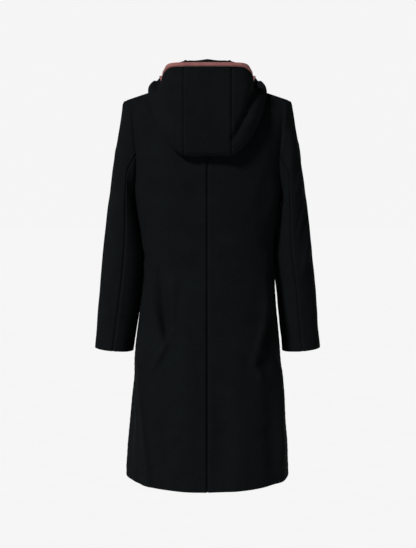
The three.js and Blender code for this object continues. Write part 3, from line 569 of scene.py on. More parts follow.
class CoatUnderHood:
    """Points of the coat under the hood, with the direction that faces out there."""

    CELLS = 60

    def __init__(self):
        share, level = np.meshgrid(
            np.linspace(0.002, 0.998, self.CELLS), np.linspace(1.2, 1.998, self.CELLS), indexing="ij"
        )
        points, outs = [], []
        for face in (1, -1):
            grid = plain_body_point(face, 1, share, level)
            out = grid_normals(grid)
            toward = grid * (1, 1, 0) + (0, 0, 90)
            out = out * np.sign((out * toward).sum(-1, keepdims=True))
            points.append(grid.reshape(-1, 3))
            outs.append(out.reshape(-1, 3))
        self.points, self.outs = np.vstack(points), np.vstack(outs)
        self.tree = KDTree(len(self.points))
        for k, p in enumerate(self.points):
            self.tree.insert(p, k)
        self.tree.balance()

    def cleared(self, p, gap, cloth):
        """The points, moved out until they lie a gap away from the coat."""
        flat = p.reshape(-1, 3)
        near = np.array([self.tree.find(q)[1] for q in flat])
        point, out = self.points[near], self.outs[near]
        height = ((flat - point) * out).sum(-1)
        on_lap = (point[:, 1] < 0) & (point[:, 0] < OVERLAP * 2)
        room = np.broadcast_to(gap, p.shape[:-1]).ravel()
        lift = np.where(on_lap, room + cloth + LAYER_GAP, room)
        short = (room > 0) & (height < lift)
        return (flat + out * np.where(short, lift - height, 0)[:, None]).reshape(p.shape)


def rib_points(start, roll, fold, edge, away, scale, bulge):
    """The first eight knots of a rib: over the roll, down and round the fold, and half way up again."""
    roll_radius, fold_radius = ROLL_RADIUS * scale, FOLD_RADIUS * scale
    fold_out = fold + fold_radius * (away + UP)
    return [
        start,
        roll - roll_radius * (away + 1.4 * UP),
        roll,
        roll + roll_radius * (away - UP),
        fold - fold_radius * (away - UP),
        fold,
        fold_out,
        (fold_out + edge) / 2 + away * bulge,
    ]


def hood_grid(under, stations, shares_at, cloth):
    """The hood's outside and its points' shares of their ribs. Shares_at gives a rib's shares by its
    distances from the edge at a dense row of shares."""
    v = np.abs(stations)
    row = {name: curve(v) for name, curve in HOOD.items()}
    roll, low, edge = (
        vec(row[f"{name}_x"], row[f"{name}_y"], row[f"{name}_z"]) for name in ("roll", "fold", "edge")
    )
    start = neck_point(v)
    room = HOOD_GAP + SHOULDER_ROOM["height"] * bump(low[:, 1] / SHOULDER_ROOM["width"])
    fold = under.cleared(low, room, cloth)
    edge = edge + fold - low
    away = unit((fold - start) * (1, 1, 0))
    small = mix(1, HOOD_FRONT_SCALE, ease((v - 0.5) / 0.9))[:, None]
    bulge = (HOOD_BULGE * (1 - 0.7 * ease((v - 0.5) / 0.7)))[:, None]
    ends = ease((v - CURL["less"]) / (CURL["to"] - CURL["less"]))
    curl = (ease((v - CURL["from"]) / (CURL["full"] - CURL["from"])) * (1 - ends))[:, None]
    points = rib_points(start, roll, fold, edge, away, small, bulge)
    rise = unit(edge - points[6])

    def curled(before, place):
        straight = edge - rise * before * mix(1, HOOD_FRONT_SCALE, ends)[:, None]
        return mix(straight, edge + place[0] * away + place[1] * UP, curl)

    points = np.array(
        points
        + [curled(CURL_LENGTH, CURL_BEFORE), curled(CURL_LENGTH / 2, CURL_TOP), curled(0, CURL_END)]
    )
    knots = hood_knots()
    rib = smooth_curve(knots, points)
    dense = np.linspace(0, 1, 400)
    length = np.linalg.norm(np.diff(rib(dense), axis=0), axis=-1)
    from_edge = np.vstack([np.cumsum(length[::-1], axis=0)[::-1], np.zeros(len(v))])
    shares = np.array([shares_at(dense, from_edge[:, k]) for k in range(len(v))])
    grid = np.array([smooth_curve(knots, points[:, k])(shares[k]) for k in range(len(v))])
    gap = HOOD_GAP * ease((shares - knots[2]) / (knots[4] - knots[2]))
    grid = under.cleared(grid, gap, cloth)
    grid[..., 0] *= np.where(stations < 0, -1, 1)[:, None]
    return grid, shares


def hood_knots():
    """The shares of the eleven knots of a rib, which are those of the centre rib's straight lengths."""
    start = np.array((0, NAPE["y"], NAPE["z"]))
    roll, fold, edge = (
        np.array([HOOD_RIBS[f"{name}_{axis}"][0] for axis in "xyz"]) for name in ("roll", "fold", "edge")
    )
    points = rib_points(start, roll, fold, edge, np.array((0, 1.0, 0)), 1, HOOD_BULGE)
    rise = unit(edge - points[6])
    points = np.array(points + [edge - rise * CURL_LENGTH, edge - rise * CURL_LENGTH / 2, edge])
    length = np.r_[0, np.cumsum(np.linalg.norm(np.diff(points, axis=0), axis=-1))]
    return length / length[-1]


# Cloth from grids

EDGE_STEPS = np.array([0, 0.35, 0.9, 1.7, 2.8, 4.4, 6.8, 10.2])


def spread(length, cell):
    """Places along a length, from 0 to 1, closer together near both ends."""
    inner = np.linspace(EDGE_STEPS[-1], length - EDGE_STEPS[-1], max(int(length / cell), 2))[1:-1]
    return np.r_[EDGE_STEPS, inner, (length - EDGE_STEPS)[::-1]] / length


def edge_distances(grid):
    """Distance of each point from the grid's four edges, along its own lines: first, last, start, end."""
    across = np.linalg.norm(np.diff(grid, axis=0), axis=-1)
    along = np.linalg.norm(np.diff(grid, axis=1), axis=-1)
    first = np.vstack([np.zeros((1, grid.shape[1])), np.cumsum(across, axis=0)])
    start = np.hstack([np.zeros((grid.shape[0], 1)), np.cumsum(along, axis=1)])
    return {"first": first, "last": first[-1] - first, "start": start, "end": start[:, -1:] - start}


SEAM = {"depth": 2.3, "width": 2.6, "puff": 0.55, "puff_at": 6.5, "puff_width": 3.6}
STITCH_LINE = {"depth": 0.4, "width": 1.6}


def seam_push(distance, strength=1.0):
    """A pressed seam: the cloth dips into the seam and swells a little beside it."""
    dip = -SEAM["depth"] * bump(distance / SEAM["width"])
    puff = SEAM["puff"] * bump((distance - SEAM["puff_at"]) / SEAM["puff_width"])
    return strength * (dip + puff)


def pucker(distance, along, seed, reach=11.0, pitch=17.0, height=0.32):
    """Small waves that the sewing draws up beside a seam."""
    rng = np.random.default_rng(seed)
    phase = along * 2 * np.pi / pitch + 1.3 * np.sin(along / rng.uniform(23, 31) + rng.uniform(0, 6))
    return height * np.sin(phase) * bump((distance - 4) / reach)


def stitch_groove(distance):
    return -STITCH_LINE["depth"] * bump(distance / STITCH_LINE["width"])


def folded_edge(distance, thickness):
    """How far both faces draw in towards each other at a turned edge."""
    radius = thickness / 2
    d = np.minimum(distance, radius)
    return radius - np.sqrt(np.maximum(radius**2 - (radius - d) ** 2, 0))


def new_object(name, vertices, faces, uvs=None):
    mesh = bpy.data.meshes.new(name)
    mesh.from_pydata((np.asarray(vertices) * METRES).tolist(), [], faces)
    if uvs is not None:
        layer = mesh.uv_layers.new(name="cloth")
        corner = np.empty(len(mesh.loops), int)
        mesh.loops.foreach_get("vertex_index", corner)
        layer.data.foreach_set("uv", (np.asarray(uvs)[corner] * METRES).ravel())
    mesh.shade_smooth()
    mesh.update()
    obj = bpy.data.objects.new(name, mesh)
    bpy.context.scene.collection.objects.link(obj)
    return obj


# How much of the outer face's detail the inner face follows
INNER_SHARE = 0.6


def cloth_wall(name, grid, push, thickness, draw_in=0.0):
    """A closed wall of cloth: an outer face on the grid, moved out by push, and an inner face behind it."""
    normals = grid_normals(grid)
    push = np.broadcast_to(push, grid.shape[:2])
    draw = np.broadcast_to(draw_in, grid.shape[:2])
    outer = grid + normals * (push - draw)[..., None]
    inner = grid + normals * (np.minimum(push * INNER_SHARE, push) - thickness + draw)[..., None]
    columns, rows = grid.shape[:2]
    distances = edge_distances(grid)
    uv = np.stack([distances["first"], distances["start"]], axis=-1).reshape(-1, 2)
    layer = columns * rows
    i, j = np.meshgrid(np.arange(columns - 1), np.arange(rows - 1), indexing="ij")
    a = (i * rows + j).ravel()
    outside = np.stack([a, a + rows, a + rows + 1, a + 1], axis=-1)
    faces = [outside, (outside + layer)[:, ::-1]]
    for line, turned in (
        (np.arange(rows), False),
        (np.arange(rows) + (columns - 1) * rows, True),
        (np.arange(columns) * rows, True),
        (np.arange(columns) * rows + rows - 1, False),
    ):
        side = np.stack([line[:-1], line[1:], line[1:] + layer, line[:-1] + layer], axis=-1)
        faces.append(side[:, ::-1] if turned else side)
    vertices = np.vstack([outer.reshape(-1, 3), inner.reshape(-1, 3)])
    obj = new_object(name, vertices, np.vstack(faces).tolist(), np.vstack([uv, uv]))
    return obj, outer


def grid_area(grid):
    """The area of a grid's outer face in square metres."""
    across, along = grid[1:, :-1] - grid[:-1, :-1], grid[:-1, 1:] - grid[:-1, :-1]
    return float(np.linalg.norm(np.cross(across, along), axis=-1).sum()) * METRES**2


def tube(points, radius, sides):
    """Vertices and faces of a closed round tube along a line of points."""
    points = np.asarray(points, float)
    radius = np.broadcast_to(radius, len(points))
    ahead = unit(np.gradient(points, axis=0))
    side = np.array((0.0, 0.0, 1.0)) if abs(ahead[0, 2]) < 0.9 else np.array((1.0, 0.0, 0.0))
    angle = np.linspace(0, 2 * np.pi, sides, endpoint=False)
    vertices, faces = [], []
    for k, p in enumerate(points):
        side = unit(side - ahead[k] * (side @ ahead[k]))
        beside = np.cross(ahead[k], side)
        ring = np.outer(np.cos(angle), side) + np.outer(np.sin(angle), beside)
        vertices.extend(p + radius[k] * ring)
    for k in range(len(points) - 1):
        for j in range(sides):
            a, b = k * sides + j, k * sides + (j + 1) % sides
            faces.append((a, a + sides, b + sides, b))
    last = (len(points) - 1) * sides
    faces.append(tuple(range(sides)))
    faces.append(tuple(last + j for j in reversed(range(sides))))
    return np.array(vertices), faces


def joined(pieces):
    """One list of vertices and faces from several."""
    vertices, faces, count = [], [], 0
    for points, cells in pieces:
        vertices.append(points)
        faces.extend(tuple(count + k for k in cell) for cell in cells)
        count += len(points)
    return np.vstack(vertices), faces


THREAD = {"length": 3.6, "pitch": 5.2, "radius": 0.5}


def stitches(line, outs):
    """A row of machine stitches along a line of points, each lying on the cloth."""
    step = np.linalg.norm(np.diff(line, axis=0), axis=-1)
    at = np.r_[0, np.cumsum(step)]
    rows = []
    for start in np.arange(2.0, at[-1] - THREAD["length"] - 2, THREAD["pitch"]):
        place = start + THREAD["length"] * np.array([0, 0.18, 0.5, 0.82, 1])
        points = np.stack([np.interp(place, at, line[:, k]) for k in range(3)], axis=-1)
        out = unit(np.stack([np.interp(place, at, outs[:, k]) for k in range(3)], axis=-1))
        height = THREAD["radius"] * np.array([-0.9, 0.1, 0.35, 0.1, -0.9])
        rows.append(tube(points + out * height[:, None], THREAD["radius"] * np.array([0.5, 1, 1, 1, 0.5]), 5))
    return rows


# Materials


def linear(hex_colour):
    """An sRGB hex colour as Blender's linear colour."""
    parts = [int(hex_colour[k : k + 2], 16) / 255 for k in (1, 3, 5)]
    return (*(c / 12.92 if c <= 0.04045 else ((c + 0.055) / 1.055) ** 2.4 for c in parts), 1.0)


def add_node(tree, kind, settings=(), **inputs):
    """A node of a kind, with its settings, and with values or other nodes' sockets on its inputs."""
    node = tree.nodes.new(kind)
    for name, value in dict(settings).items():
        setattr(node, name, value)
    for name, value in inputs.items():
        socket = node.inputs[int(name[1:])] if name[0] == "_" else node.inputs[name.replace("_", " ")]
        if isinstance(value, bpy.types.NodeSocket):
            tree.links.new(value, socket)
        else:
            socket.default_value = value
    return node


def new_material(name):
    """An empty material, its node tree, and the place on the piece that its textures are made from."""
    material = bpy.data.materials.new(name)
    material.use_nodes = True
    tree = material.node_tree
    tree.nodes.clear()
    return material, tree, add_node(tree, "ShaderNodeTexCoord").outputs["Object"]


def noise(tree, place, spot_mm, detail, roughness):
    """Noise with spots of a real size."""
    scale = 1000 / spot_mm
    kind = "ShaderNodeTexNoise"
    return add_node(tree, kind, Vector=place, Scale=scale, Detail=detail, Roughness=roughness).outputs["Fac"]


def ramp(tree, factor, *stops):
    """A colour ramp through stops of place and hex colour."""
    node = add_node(tree, "ShaderNodeValToRGB", Fac=factor)
    points = node.color_ramp.elements
    while len(points) < len(stops):
        points.new(0.5)
    for point, (place, colour) in zip(points, stops):
        point.position, point.color = place, linear(colour)
    return node.outputs["Color"]


def bumped(tree, height, strength, distance, **inputs):
    node = add_node(tree, "ShaderNodeBump", Height=height, Strength=strength, Distance=distance, **inputs)
    return node.outputs["Normal"]


def surfaced(material, **inputs):
    """The material, finished with a principled surface."""
    shader = add_node(material.node_tree, "ShaderNodeBsdfPrincipled", **inputs)
    add_node(material.node_tree, "ShaderNodeOutputMaterial", Surface=shader.outputs["BSDF"])
    return material


def wool_melton(settings):
    """Melton: woollen cloth milled and brushed until its weave is hidden under a short felted nap. It looks
    matt and soft, with a faint grey bloom where it turns away and short darker and lighter fibres."""
    material, tree, place = new_material("Brushed wool melton")
    fibre = noise(tree, place, 1.6, 4.0, 0.7)
    tuft = noise(tree, place, 4.5, 3.0, 0.6)
    patch = noise(tree, place, 42.0, 2.0, 0.5)
    mottle = add_node(tree, "ShaderNodeMix", {"data_type": "FLOAT"}, _0=0.45, _2=tuft, _3=patch)
    colour = ramp(tree, mottle.outputs[0], (0.32, settings.wool_shade), (0.68, settings.wool_light))
    tufted = bumped(tree, tuft, 0.55, 0.0009)
    return surfaced(
        material,
        Base_Color=colour,
        Roughness=0.94,
        Specular_IOR_Level=0.03,
        Sheen_Weight=settings.bloom,
        Sheen_Roughness=0.42,
        Sheen_Tint=linear(settings.bloom_colour),
        Normal=bumped(tree, fibre, 0.7, 0.0005, Normal=tufted),
    )


def twill_tape(settings):
    """Cotton twill tape: woven narrow with fine slanting ribs, here drawn 2 mm apart, coarser than the
    real 0.7 mm, so that they show. It looks flat and matt, with a slight slanting grain."""
    material, tree, place = new_material("Woven cotton twill tape")
    uv = add_node(tree, "ShaderNodeUVMap", {"uv_map": "cloth"}).outputs["UV"]
    rib_mm = 2.0
    slant = (0, 0, np.radians(40))
    turned = add_node(tree, "ShaderNodeMapping", Vector=uv, Rotation=slant, Scale=(1000 / rib_mm,) * 3)
    ribs = add_node(
        tree,
        "ShaderNodeTexWave",
        {"wave_type": "BANDS", "bands_direction": "X", "wave_profile": "SIN"},
        Vector=turned.outputs["Vector"],
        Scale=0.314,
        Distortion=0.6,
        Detail=1.0,
    )
    wear = noise(tree, place, 14.0, 3.0, 0.6)
    return surfaced(
        material,
        Base_Color=ramp(tree, wear, (0.3, settings.tape_shade), (0.7, settings.tape_light)),
        Roughness=0.82,
        Specular_IOR_Level=0.25,
        Sheen_Weight=0.15,
        Sheen_Roughness=0.5,
        Normal=bumped(tree, ribs.outputs["Fac"], 0.5, 0.0005),
    )


def grained_leather(settings):
    """Cowhide, drum-dyed black and lightly waxed. Its pores and creases, about 1.2 mm apart, break up a
    soft shine."""
    material, tree, place = new_material("Waxed grained leather")
    kind, smooth = "ShaderNodeTexVoronoi", {"feature": "SMOOTH_F1"}
    pebble = add_node(tree, kind, smooth, Vector=place, Scale=1000 / 1.2, Smoothness=0.6)
    cloudy = noise(tree, place, 9.0, 4.0, 0.6)
    rough = add_node(tree, "ShaderNodeMapRange", Value=cloudy, To_Min=0.42, To_Max=0.62)
    return surfaced(
        material,
        Base_Color=ramp(tree, cloudy, (0.35, settings.leather_shade), (0.7, settings.leather_light)),
        Roughness=rough.outputs["Result"],
        Specular_IOR_Level=0.45,
        Normal=bumped(tree, pebble.outputs["Distance"], 0.45, 0.0004),
    )


def polished_horn(settings):
    """Buffalo horn, turned and polished. Grown in layers, it shows long streaks of brown and black under
    a smooth gloss."""
    material, tree, place = new_material("Polished buffalo horn")
    streaks = add_node(tree, "ShaderNodeMapping", Vector=place, Scale=(240, 240, 28)).outputs["Vector"]
    layers = noise(tree, streaks, 1000, 5.0, 0.62)
    stops = ((0.38, settings.horn_shade), (0.55, settings.horn_middle), (0.72, settings.horn_light))
    return surfaced(
        material,
        Base_Color=ramp(tree, layers, *stops),
        Roughness=0.28,
        Specular_IOR_Level=0.5,
        Coat_Weight=0.3,
        Coat_Roughness=0.15,
    )


def spun_thread(settings):
    """Polyester core-spun thread, twisted and dyed black. It is a little smoother than the wool, so a row
    of stitches just catches the light."""
    material, tree, place = new_material("Twisted polyester thread")
    twist = noise(tree, place, 0.8, 2.0, 0.5)
    colour = ramp(tree, twist, (0.3, settings.thread_shade), (0.7, settings.thread_light))
    return surfaced(material, Base_Color=colour, Roughness=0.8, Specular_IOR_Level=0.1)


def stage_paint(settings):
    """Matt white emulsion on a smooth floor. It gives an even pale ground without gloss."""
    material, tree, place = new_material("Matt white floor paint")
    rolled = noise(tree, place, 1000 / 6, 2.0, 0.5)
    colour = ramp(tree, rolled, (0.0, settings.floor), (1.0, settings.floor_light))
    return surfaced(material, Base_Color=colour, Roughness=0.95, Specular_IOR_Level=0.0)


MADE = {}


def material_for(name):
    """A material, made once."""
    if name not in MADE:
        makers = {
            "wool": wool_melton,
            "binding": twill_tape,
            "leather": grained_leather,
            "toggle": polished_horn,
            "thread": spun_thread,
            "floor": stage_paint,
        }
        MADE[name] = makers[name](bpy.context.scene.duffle_finish)
    return MADE[name]


def dressed(obj, nodes, material):
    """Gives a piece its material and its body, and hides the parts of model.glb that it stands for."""
    obj.data.materials.append(material_for(material))
    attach(obj, "root")
    if nodes:
        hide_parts(*nodes)
    return obj


# A piece's flat rectangle is at most this many times its area
MOST_OF_AREA = 1.9


def declared_sheet(obj, outer):
    """Works out a piece's length and width as the sheet of cloth that it was cut from, and does nothing more
    with them.
    """
    distances = edge_distances(outer)
    width = float(distances["first"][-1].max()) * METRES
    length = float(distances["start"][:, -1].max()) * METRES
    area = grid_area(outer)
    width = min(width, MOST_OF_AREA * area / length)


# Settings


class DuffleCut(bpy.types.PropertyGroup):
    """Sizes of the cloth and its sewing."""

    cloth: bpy.props.FloatProperty(
        name="Cloth", description="Thickness of the coat's wall in millimetres", default=3.0, min=1.0
    )
    hood_cloth: bpy.props.FloatProperty(
        name="Hood cloth", description="Thickness of the hood's wall in millimetres", default=3.4, min=1.0
    )
    cell: bpy.props.FloatProperty(
        name="Cell", description="Spacing of the cloth's grid in millimetres", default=5.0, min=2.0
    )
    waviness: bpy.props.FloatProperty(
        name="Waviness", description="Height of the cloth's slow waves in millimetres", default=0.5
    )
    seam_gap: bpy.props.FloatProperty(
        name="Seam gap", description="Gap between two sewn pieces in millimetres", default=0.3
    )


class DuffleFinish(bpy.types.PropertyGroup):
    """Colours of the coat and its stage, as sRGB hex values."""

    wool_shade: bpy.props.StringProperty(name="Wool shade", description="Darker fibres", default="#080a0b")
    wool_light: bpy.props.StringProperty(name="Wool light", description="Lighter fibres", default="#0c0f10")
    bloom_colour: bpy.props.StringProperty(
        name="Bloom colour", description="Grey of the nap where it turns away", default="#6a7476"
    )
    bloom: bpy.props.FloatProperty(
        name="Bloom", description="Strength of the nap's grey bloom", default=0.012, subtype="FACTOR"
    )
    tape_shade: bpy.props.StringProperty(name="Tape shade", description="Darker tape", default="#6c3f3e")
    tape_light: bpy.props.StringProperty(name="Tape light", description="Lighter tape", default="#82524e")
    leather_shade: bpy.props.StringProperty(
        name="Leather shade", description="Darker hide", default="#0b0a0a"
    )
    leather_light: bpy.props.StringProperty(
        name="Leather light", description="Lighter hide", default="#1c1a19"
    )
    horn_shade: bpy.props.StringProperty(name="Horn shade", description="Darkest layer", default="#120c08")
    horn_middle: bpy.props.StringProperty(name="Horn middle", description="Middle layer", default="#2e1d12")
    horn_light: bpy.props.StringProperty(name="Horn light", description="Lightest layer", default="#6d4a2c")
    thread_shade: bpy.props.StringProperty(
        name="Thread shade", description="Darker thread", default="#08090a"
    )
    thread_light: bpy.props.StringProperty(
        name="Thread light", description="Lighter thread", default="#0d1011"
    )
    floor: bpy.props.StringProperty(name="Floor", description="Floor paint", default="#f4f4f4")
    floor_light: bpy.props.StringProperty(name="Floor light", description="Lighter paint", default="#f7f7f7")


class DuffleStage(bpy.types.PropertyGroup):
    """The camera and the lights."""

    distance: bpy.props.FloatProperty(
        name="Distance", description="Camera's distance behind the coat", default=2.919, unit="LENGTH"
    )
    height: bpy.props.FloatProperty(
        name="Height", description="Camera's height", default=-0.186, unit="LENGTH"
    )
    tilt: bpy.props.FloatProperty(
        name="Tilt", description="How far the camera looks down", default=np.radians(4.04), subtype="ANGLE"
    )
    lens: bpy.props.FloatProperty(
        name="Lens", description="Focal length in millimetres", default=77.4, unit="CAMERA"
    )
    shift: bpy.props.FloatProperty(name="Shift", description="Shift of the lens downwards", default=-0.05)
    backdrop: bpy.props.StringProperty(name="Backdrop", description="Colour behind", default="#f5f5f5")
    sky: bpy.props.FloatProperty(name="Sky", description="Strength of the even light", default=0.12)
    key: bpy.props.FloatProperty(name="Key", description="Strength of the soft key light", default=4.4)


def cut_settings():
    return bpy.context.scene.duffle_cut


# Operators


def mirrored(grid):
    """The grid on the other side, still facing out."""
    return grid[::-1] * (-1, 1, 1)


def finished_cloth(name, node, grid, push, thickness, draw_in, material="wool"):
    obj, outer = cloth_wall(name, grid, push, thickness, draw_in)
    dressed(obj, [node], material)
    declared_sheet(obj, outer)
    return outer


class COAT_OT_body(bpy.types.Operator):
    """Make the two backs and the two fronts"""

    bl_idname = "coat.body"
    bl_label = "Body"

    HALF_GIRTH = 230.0
    LENGTH = 960.0
    # Where a panel's line along the side, 2 in all, passes the armpit
    ARMPIT_AT = 1.452
    # How much of the side seam's sinking is left out at the armhole, so that it stays at the sleeve
    FLAT_ARMHOLE = 1.0

    def panel_grid(self, face, side, cut):
        levels = 2 * spread(self.LENGTH, cut.cell)
        above = 1 + (levels - self.ARMPIT_AT) / (2 - self.ARMPIT_AT)
        levels = np.where(levels < self.ARMPIT_AT, levels / self.ARMPIT_AT, above)
        shares = spread(self.HALF_GIRTH, cut.cell) ** (1 / SQUARENESS)
        if face > 0:
            grid = body_point(1, side, shares[::-1, None], levels[None, :])
            grid[-1, :, 0] = 0
            return grid, levels
        lap = -spread(OVERLAP, cut.cell)[::-1]
        shares = np.r_[lap[:-1][lap[:-1] < -0.08], shares[shares > 0.004]]
        grid = front_point(side, shares[:, None], levels[None, :])
        if side < 0:
            lift = lap_lift(-grid[..., 0], np.broadcast_to(levels, grid.shape[:2]), cut.cloth)
            grid = grid + grid_normals(grid) * lift[..., None]
        return grid, levels

    def detail(self, grid, face, side, levels, cut):
        """The creases, seams and edges of a panel, as its push and how far its edges draw in."""
        x, _, z = np.moveaxis(grid, -1, 0)
        edges = edge_distances(grid)
        hem = folded_edge(edges["start"], cut.cloth)
        creases = folds_push(BACK_CREASES if face > 0 else FRONT_CREASES, side * x, z)
        push = creases * (1 - ease((np.abs(x) - 150) / 60) * 0.3)
        push = push + unevenness(side * x, z, 11 + face, 95, cut.waviness)
        push = push + unevenness(side * x, z, 21 + face, 38, cut.waviness * 0.35)
        outer_edge, centre = ("first", "last") if face > 0 else ("last", "first")
        top = edges["end"]
        push = push * ease(top / 40) * ease(edges[outer_edge] / 12)
        depth = 1 - self.FLAT_ARMHOLE * ease((levels[None, :] - 0.95) / 0.1)
        push = push + seam_push(edges[outer_edge]) * depth + seam_push(top, 0.8)
        push = push + pucker(edges[outer_edge], edges["start"], 5 + side, height=0.22) * depth
        push = push + seam_push(edges["start"] + 1.2, -0.25)
        if face > 0:
            push = push + seam_push(edges[centre], 1.5) + pucker(edges[centre], edges["start"], 3)
            return push, hem
        return push, np.maximum(hem, folded_edge(edges[centre], cut.cloth))

    def execute(self, context):
        cut = cut_settings()
        for face, word in ((1, "back"), (-1, "front")):
            for side, side_word in ((1, "left"), (-1, "right")):
                grid, levels = self.panel_grid(face, side, cut)
                push, draw_in = self.detail(grid, face, side, levels, cut)
                if side < 0:
                    grid, push, draw_in = mirrored(grid), push[::-1], draw_in[::-1]
                node = f"{word}_{side_word}"
                finished_cloth(f"{node}_panel", node, grid, push, cut.cloth, draw_in)
        return {"FINISHED"}


class COAT_OT_sleeves(bpy.types.Operator):
    """Make the top and under pieces of both sleeves"""

    bl_idname = "coat.sleeves"
    bl_label = "Sleeves"

    TURN_MM = 1.25

    def execute(self, context):
        cut = cut_settings()
        spans = (
            ("top_sleeve", FRONT_SEAM_PSI, BACK_SEAM_PSI),
            ("under_sleeve", BACK_SEAM_PSI, FRONT_SEAM_PSI + 360),
        )
        for word, low, high in spans:
            for side, side_word in ((1, "left"), (-1, "right")):
                turn = high - low
                psi = low + turn * spread(turn * self.TURN_MM, cut.cell)
                s = spread(SLEEVE_LENGTH, cut.cell) ** 1.1
                grid = sleeve_point(side, psi[::-1, None], s[None, :])
                edges = edge_distances(grid)
                turned = (np.broadcast_to(psi[::-1, None], grid.shape[:2]) + 540) % 360 - 180
                length = np.broadcast_to(s[None, :], grid.shape[:2])
                push = sleeve_folds_push(SLEEVE_CREASES, side, turned, length)
                push = push + unevenness(turned * 1.2, grid[..., 2], 31 + side, 70, cut.waviness)
                push = push * ease(edges["start"] / 20)
                push = push + seam_push(edges["first"], 0.9) + seam_push(edges["last"], 0.9)
                push = push + seam_push(edges["start"], 0.25) + 0.9 * bump((edges["start"] - 13) / 9)
                push = push + pucker(edges["start"], turned * self.TURN_MM, 7, height=0.3)
                push = push + stitch_groove(edges["end"] - 30) * 0.6
                draw_in = folded_edge(edges["end"], cut.cloth)
                if side < 0:
                    grid, push, draw_in = mirrored(grid), push[::-1], draw_in[::-1]
                node = f"{word}_{side_word}"
                finished_cloth(f"{node}_piece", node, grid, push, cut.cloth, draw_in)
        return {"FINISHED"}


class COAT_OT_hood(bpy.types.Operator):
    """Make the three panels of the hood, its taped edge and its topstitching"""

    bl_idname = "coat.hood"
    bl_label = "Hood"

    STATION_MM = 105.0
    RIB_MM = 560.0
    TOPSTITCH_MM = 12.0
    TAPE_CELL = 1.2
    TAPE_GAP = 0.15

    def panel_shares(self, cut):
        steps = spread(self.RIB_MM, cut.cell * 0.8)

        def shares_at(dense, from_edge):
            return steps * np.interp(-(BINDING_WIDTH + self.TAPE_GAP), -from_edge, dense)

        return shares_at

    def detail(self, grid, shares, stations, cut, strip):
        x, _, z = np.moveaxis(grid, -1, 0)
        edges = edge_distances(grid)
        knots = hood_knots()
        rising = ease((shares - knots[5]) / 0.06)
        push = folds_push(HOOD_CREASES, x, z) * rising
        push = push + unevenness(x, z, 41, 60, cut.waviness * 0.9)
        push = push * ease(edges["start"] / 30) * ease(edges["end"] / 8)
        beside = np.minimum(edges["first"], edges["last"]) if strip else edges[self.seam_end(stations)]
        push = push + seam_push(beside, 0.8) + pucker(beside, edges["start"], 9)
        if strip:
            push = push + stitch_groove(beside - self.TOPSTITCH_MM)
        else:
            push = push + stitch_groove(beside - self.TOPSTITCH_MM / 2) * 0.6
        push = push + seam_push(edges["end"], 0.5) + seam_push(edges["start"], 0.6)
        return push, edges, beside

    def seam_end(self, stations):
        """The edge of a side panel's grid that is sewn to the centre panel."""
        return "first" if abs(stations[0]) < abs(stations[-1]) else "last"

    def stitch_rows(self, outer, beside, offsets):
        """Rows of stitches at distances from the seams, on the outer face."""
        normals = grid_normals(outer)
        rows = []
        half = outer.shape[0] // 2
        for offset in offsets:
            for part in (slice(0, half + 1), slice(half, None)):
                near = beside[part]
                if near.min() > 1 or near.max() < offset:
                    continue
                order = slice(None) if near[0, 0] < near[-1, 0] else slice(None, None, -1)
                d, points, outs = near[order], outer[part][order], normals[part][order]
                line, out = [], []
                for j in range(outer.shape[1]):
                    line.append([np.interp(offset, d[:, j], points[:, j, k]) for k in range(3)])
                    out.append([np.interp(offset, d[:, j], outs[:, j, k]) for k in range(3)])
                rows += stitches(np.array(line), np.array(out))
        return rows

    def execute(self, context):
        cut = cut_settings()
        under = CoatUnderHood()
        seam_v = STRIP_ANGLE / 90
        strip_gap = cut.seam_gap / 2 / self.STATION_MM
        centre_half = seam_v - strip_gap
        centre = centre_half * (1 - 2 * spread(2 * centre_half * self.STATION_MM, cut.cell * 0.8))
        side_span = HOOD_FRONT_STATION - seam_v - strip_gap
        beyond = seam_v + strip_gap + side_span * spread(side_span * self.STATION_MM * 1.4, cut.cell * 0.8)
        pieces = (
            ("hood_centre", centre, True),
            ("hood_left", beyond[::-1], False),
            ("hood_right", -beyond, False),
        )
        sewn = []
        for name, stations, strip in pieces:
            grid, shares = hood_grid(under, stations, self.panel_shares(cut), cut.hood_cloth)
            push, edges, beside = self.detail(grid, shares, stations, cut, strip)
            front = "last" if name == "hood_right" else "first"
            draw_in = 0.0 if strip else folded_edge(edges[front], cut.hood_cloth)
            outer = finished_cloth(
                f"{name}_panel", name, grid, push, cut.hood_cloth, draw_in
            )
            offsets = (self.TOPSTITCH_MM,) if strip else (self.TOPSTITCH_MM / 2,)
            sewn += self.stitch_rows(outer, beside, offsets)
        obj = new_object("hood_topstitching", *joined(sewn))
        dressed(obj, (), "thread")
        self.make_binding(under, cut)
        return {"FINISHED"}

    def make_binding(self, under, cut):
        """The tape, folded over the hood's edge: a thicker, round-edged band."""
        steps = spread(BINDING_WIDTH, self.TAPE_CELL)

        def shares_at(dense, from_edge):
            return np.interp(-(BINDING_WIDTH - self.TAPE_GAP) * (1 - steps), -from_edge, dense)

        reach = HOOD_FRONT_STATION
        stations = reach * (1 - 2 * spread(2 * reach * self.STATION_MM * 1.25, cut.cell * 0.8))
        grid, _ = hood_grid(under, stations, shares_at, cut.hood_cloth)
        edges = edge_distances(grid)
        push = 0.5 * bump((edges["end"] - 4) / 5)
        push = push + pucker(edges["start"], edges["first"], 15, height=0.2)
        turned, woven = folded_edge(edges["end"], cut.hood_cloth), folded_edge(edges["start"], 1.2)
        draw_in = np.maximum(turned, 0.5 * woven)
        finished_cloth(
            "hood_tape", "hood_binding", grid, push, cut.hood_cloth, draw_in, "binding"
        )


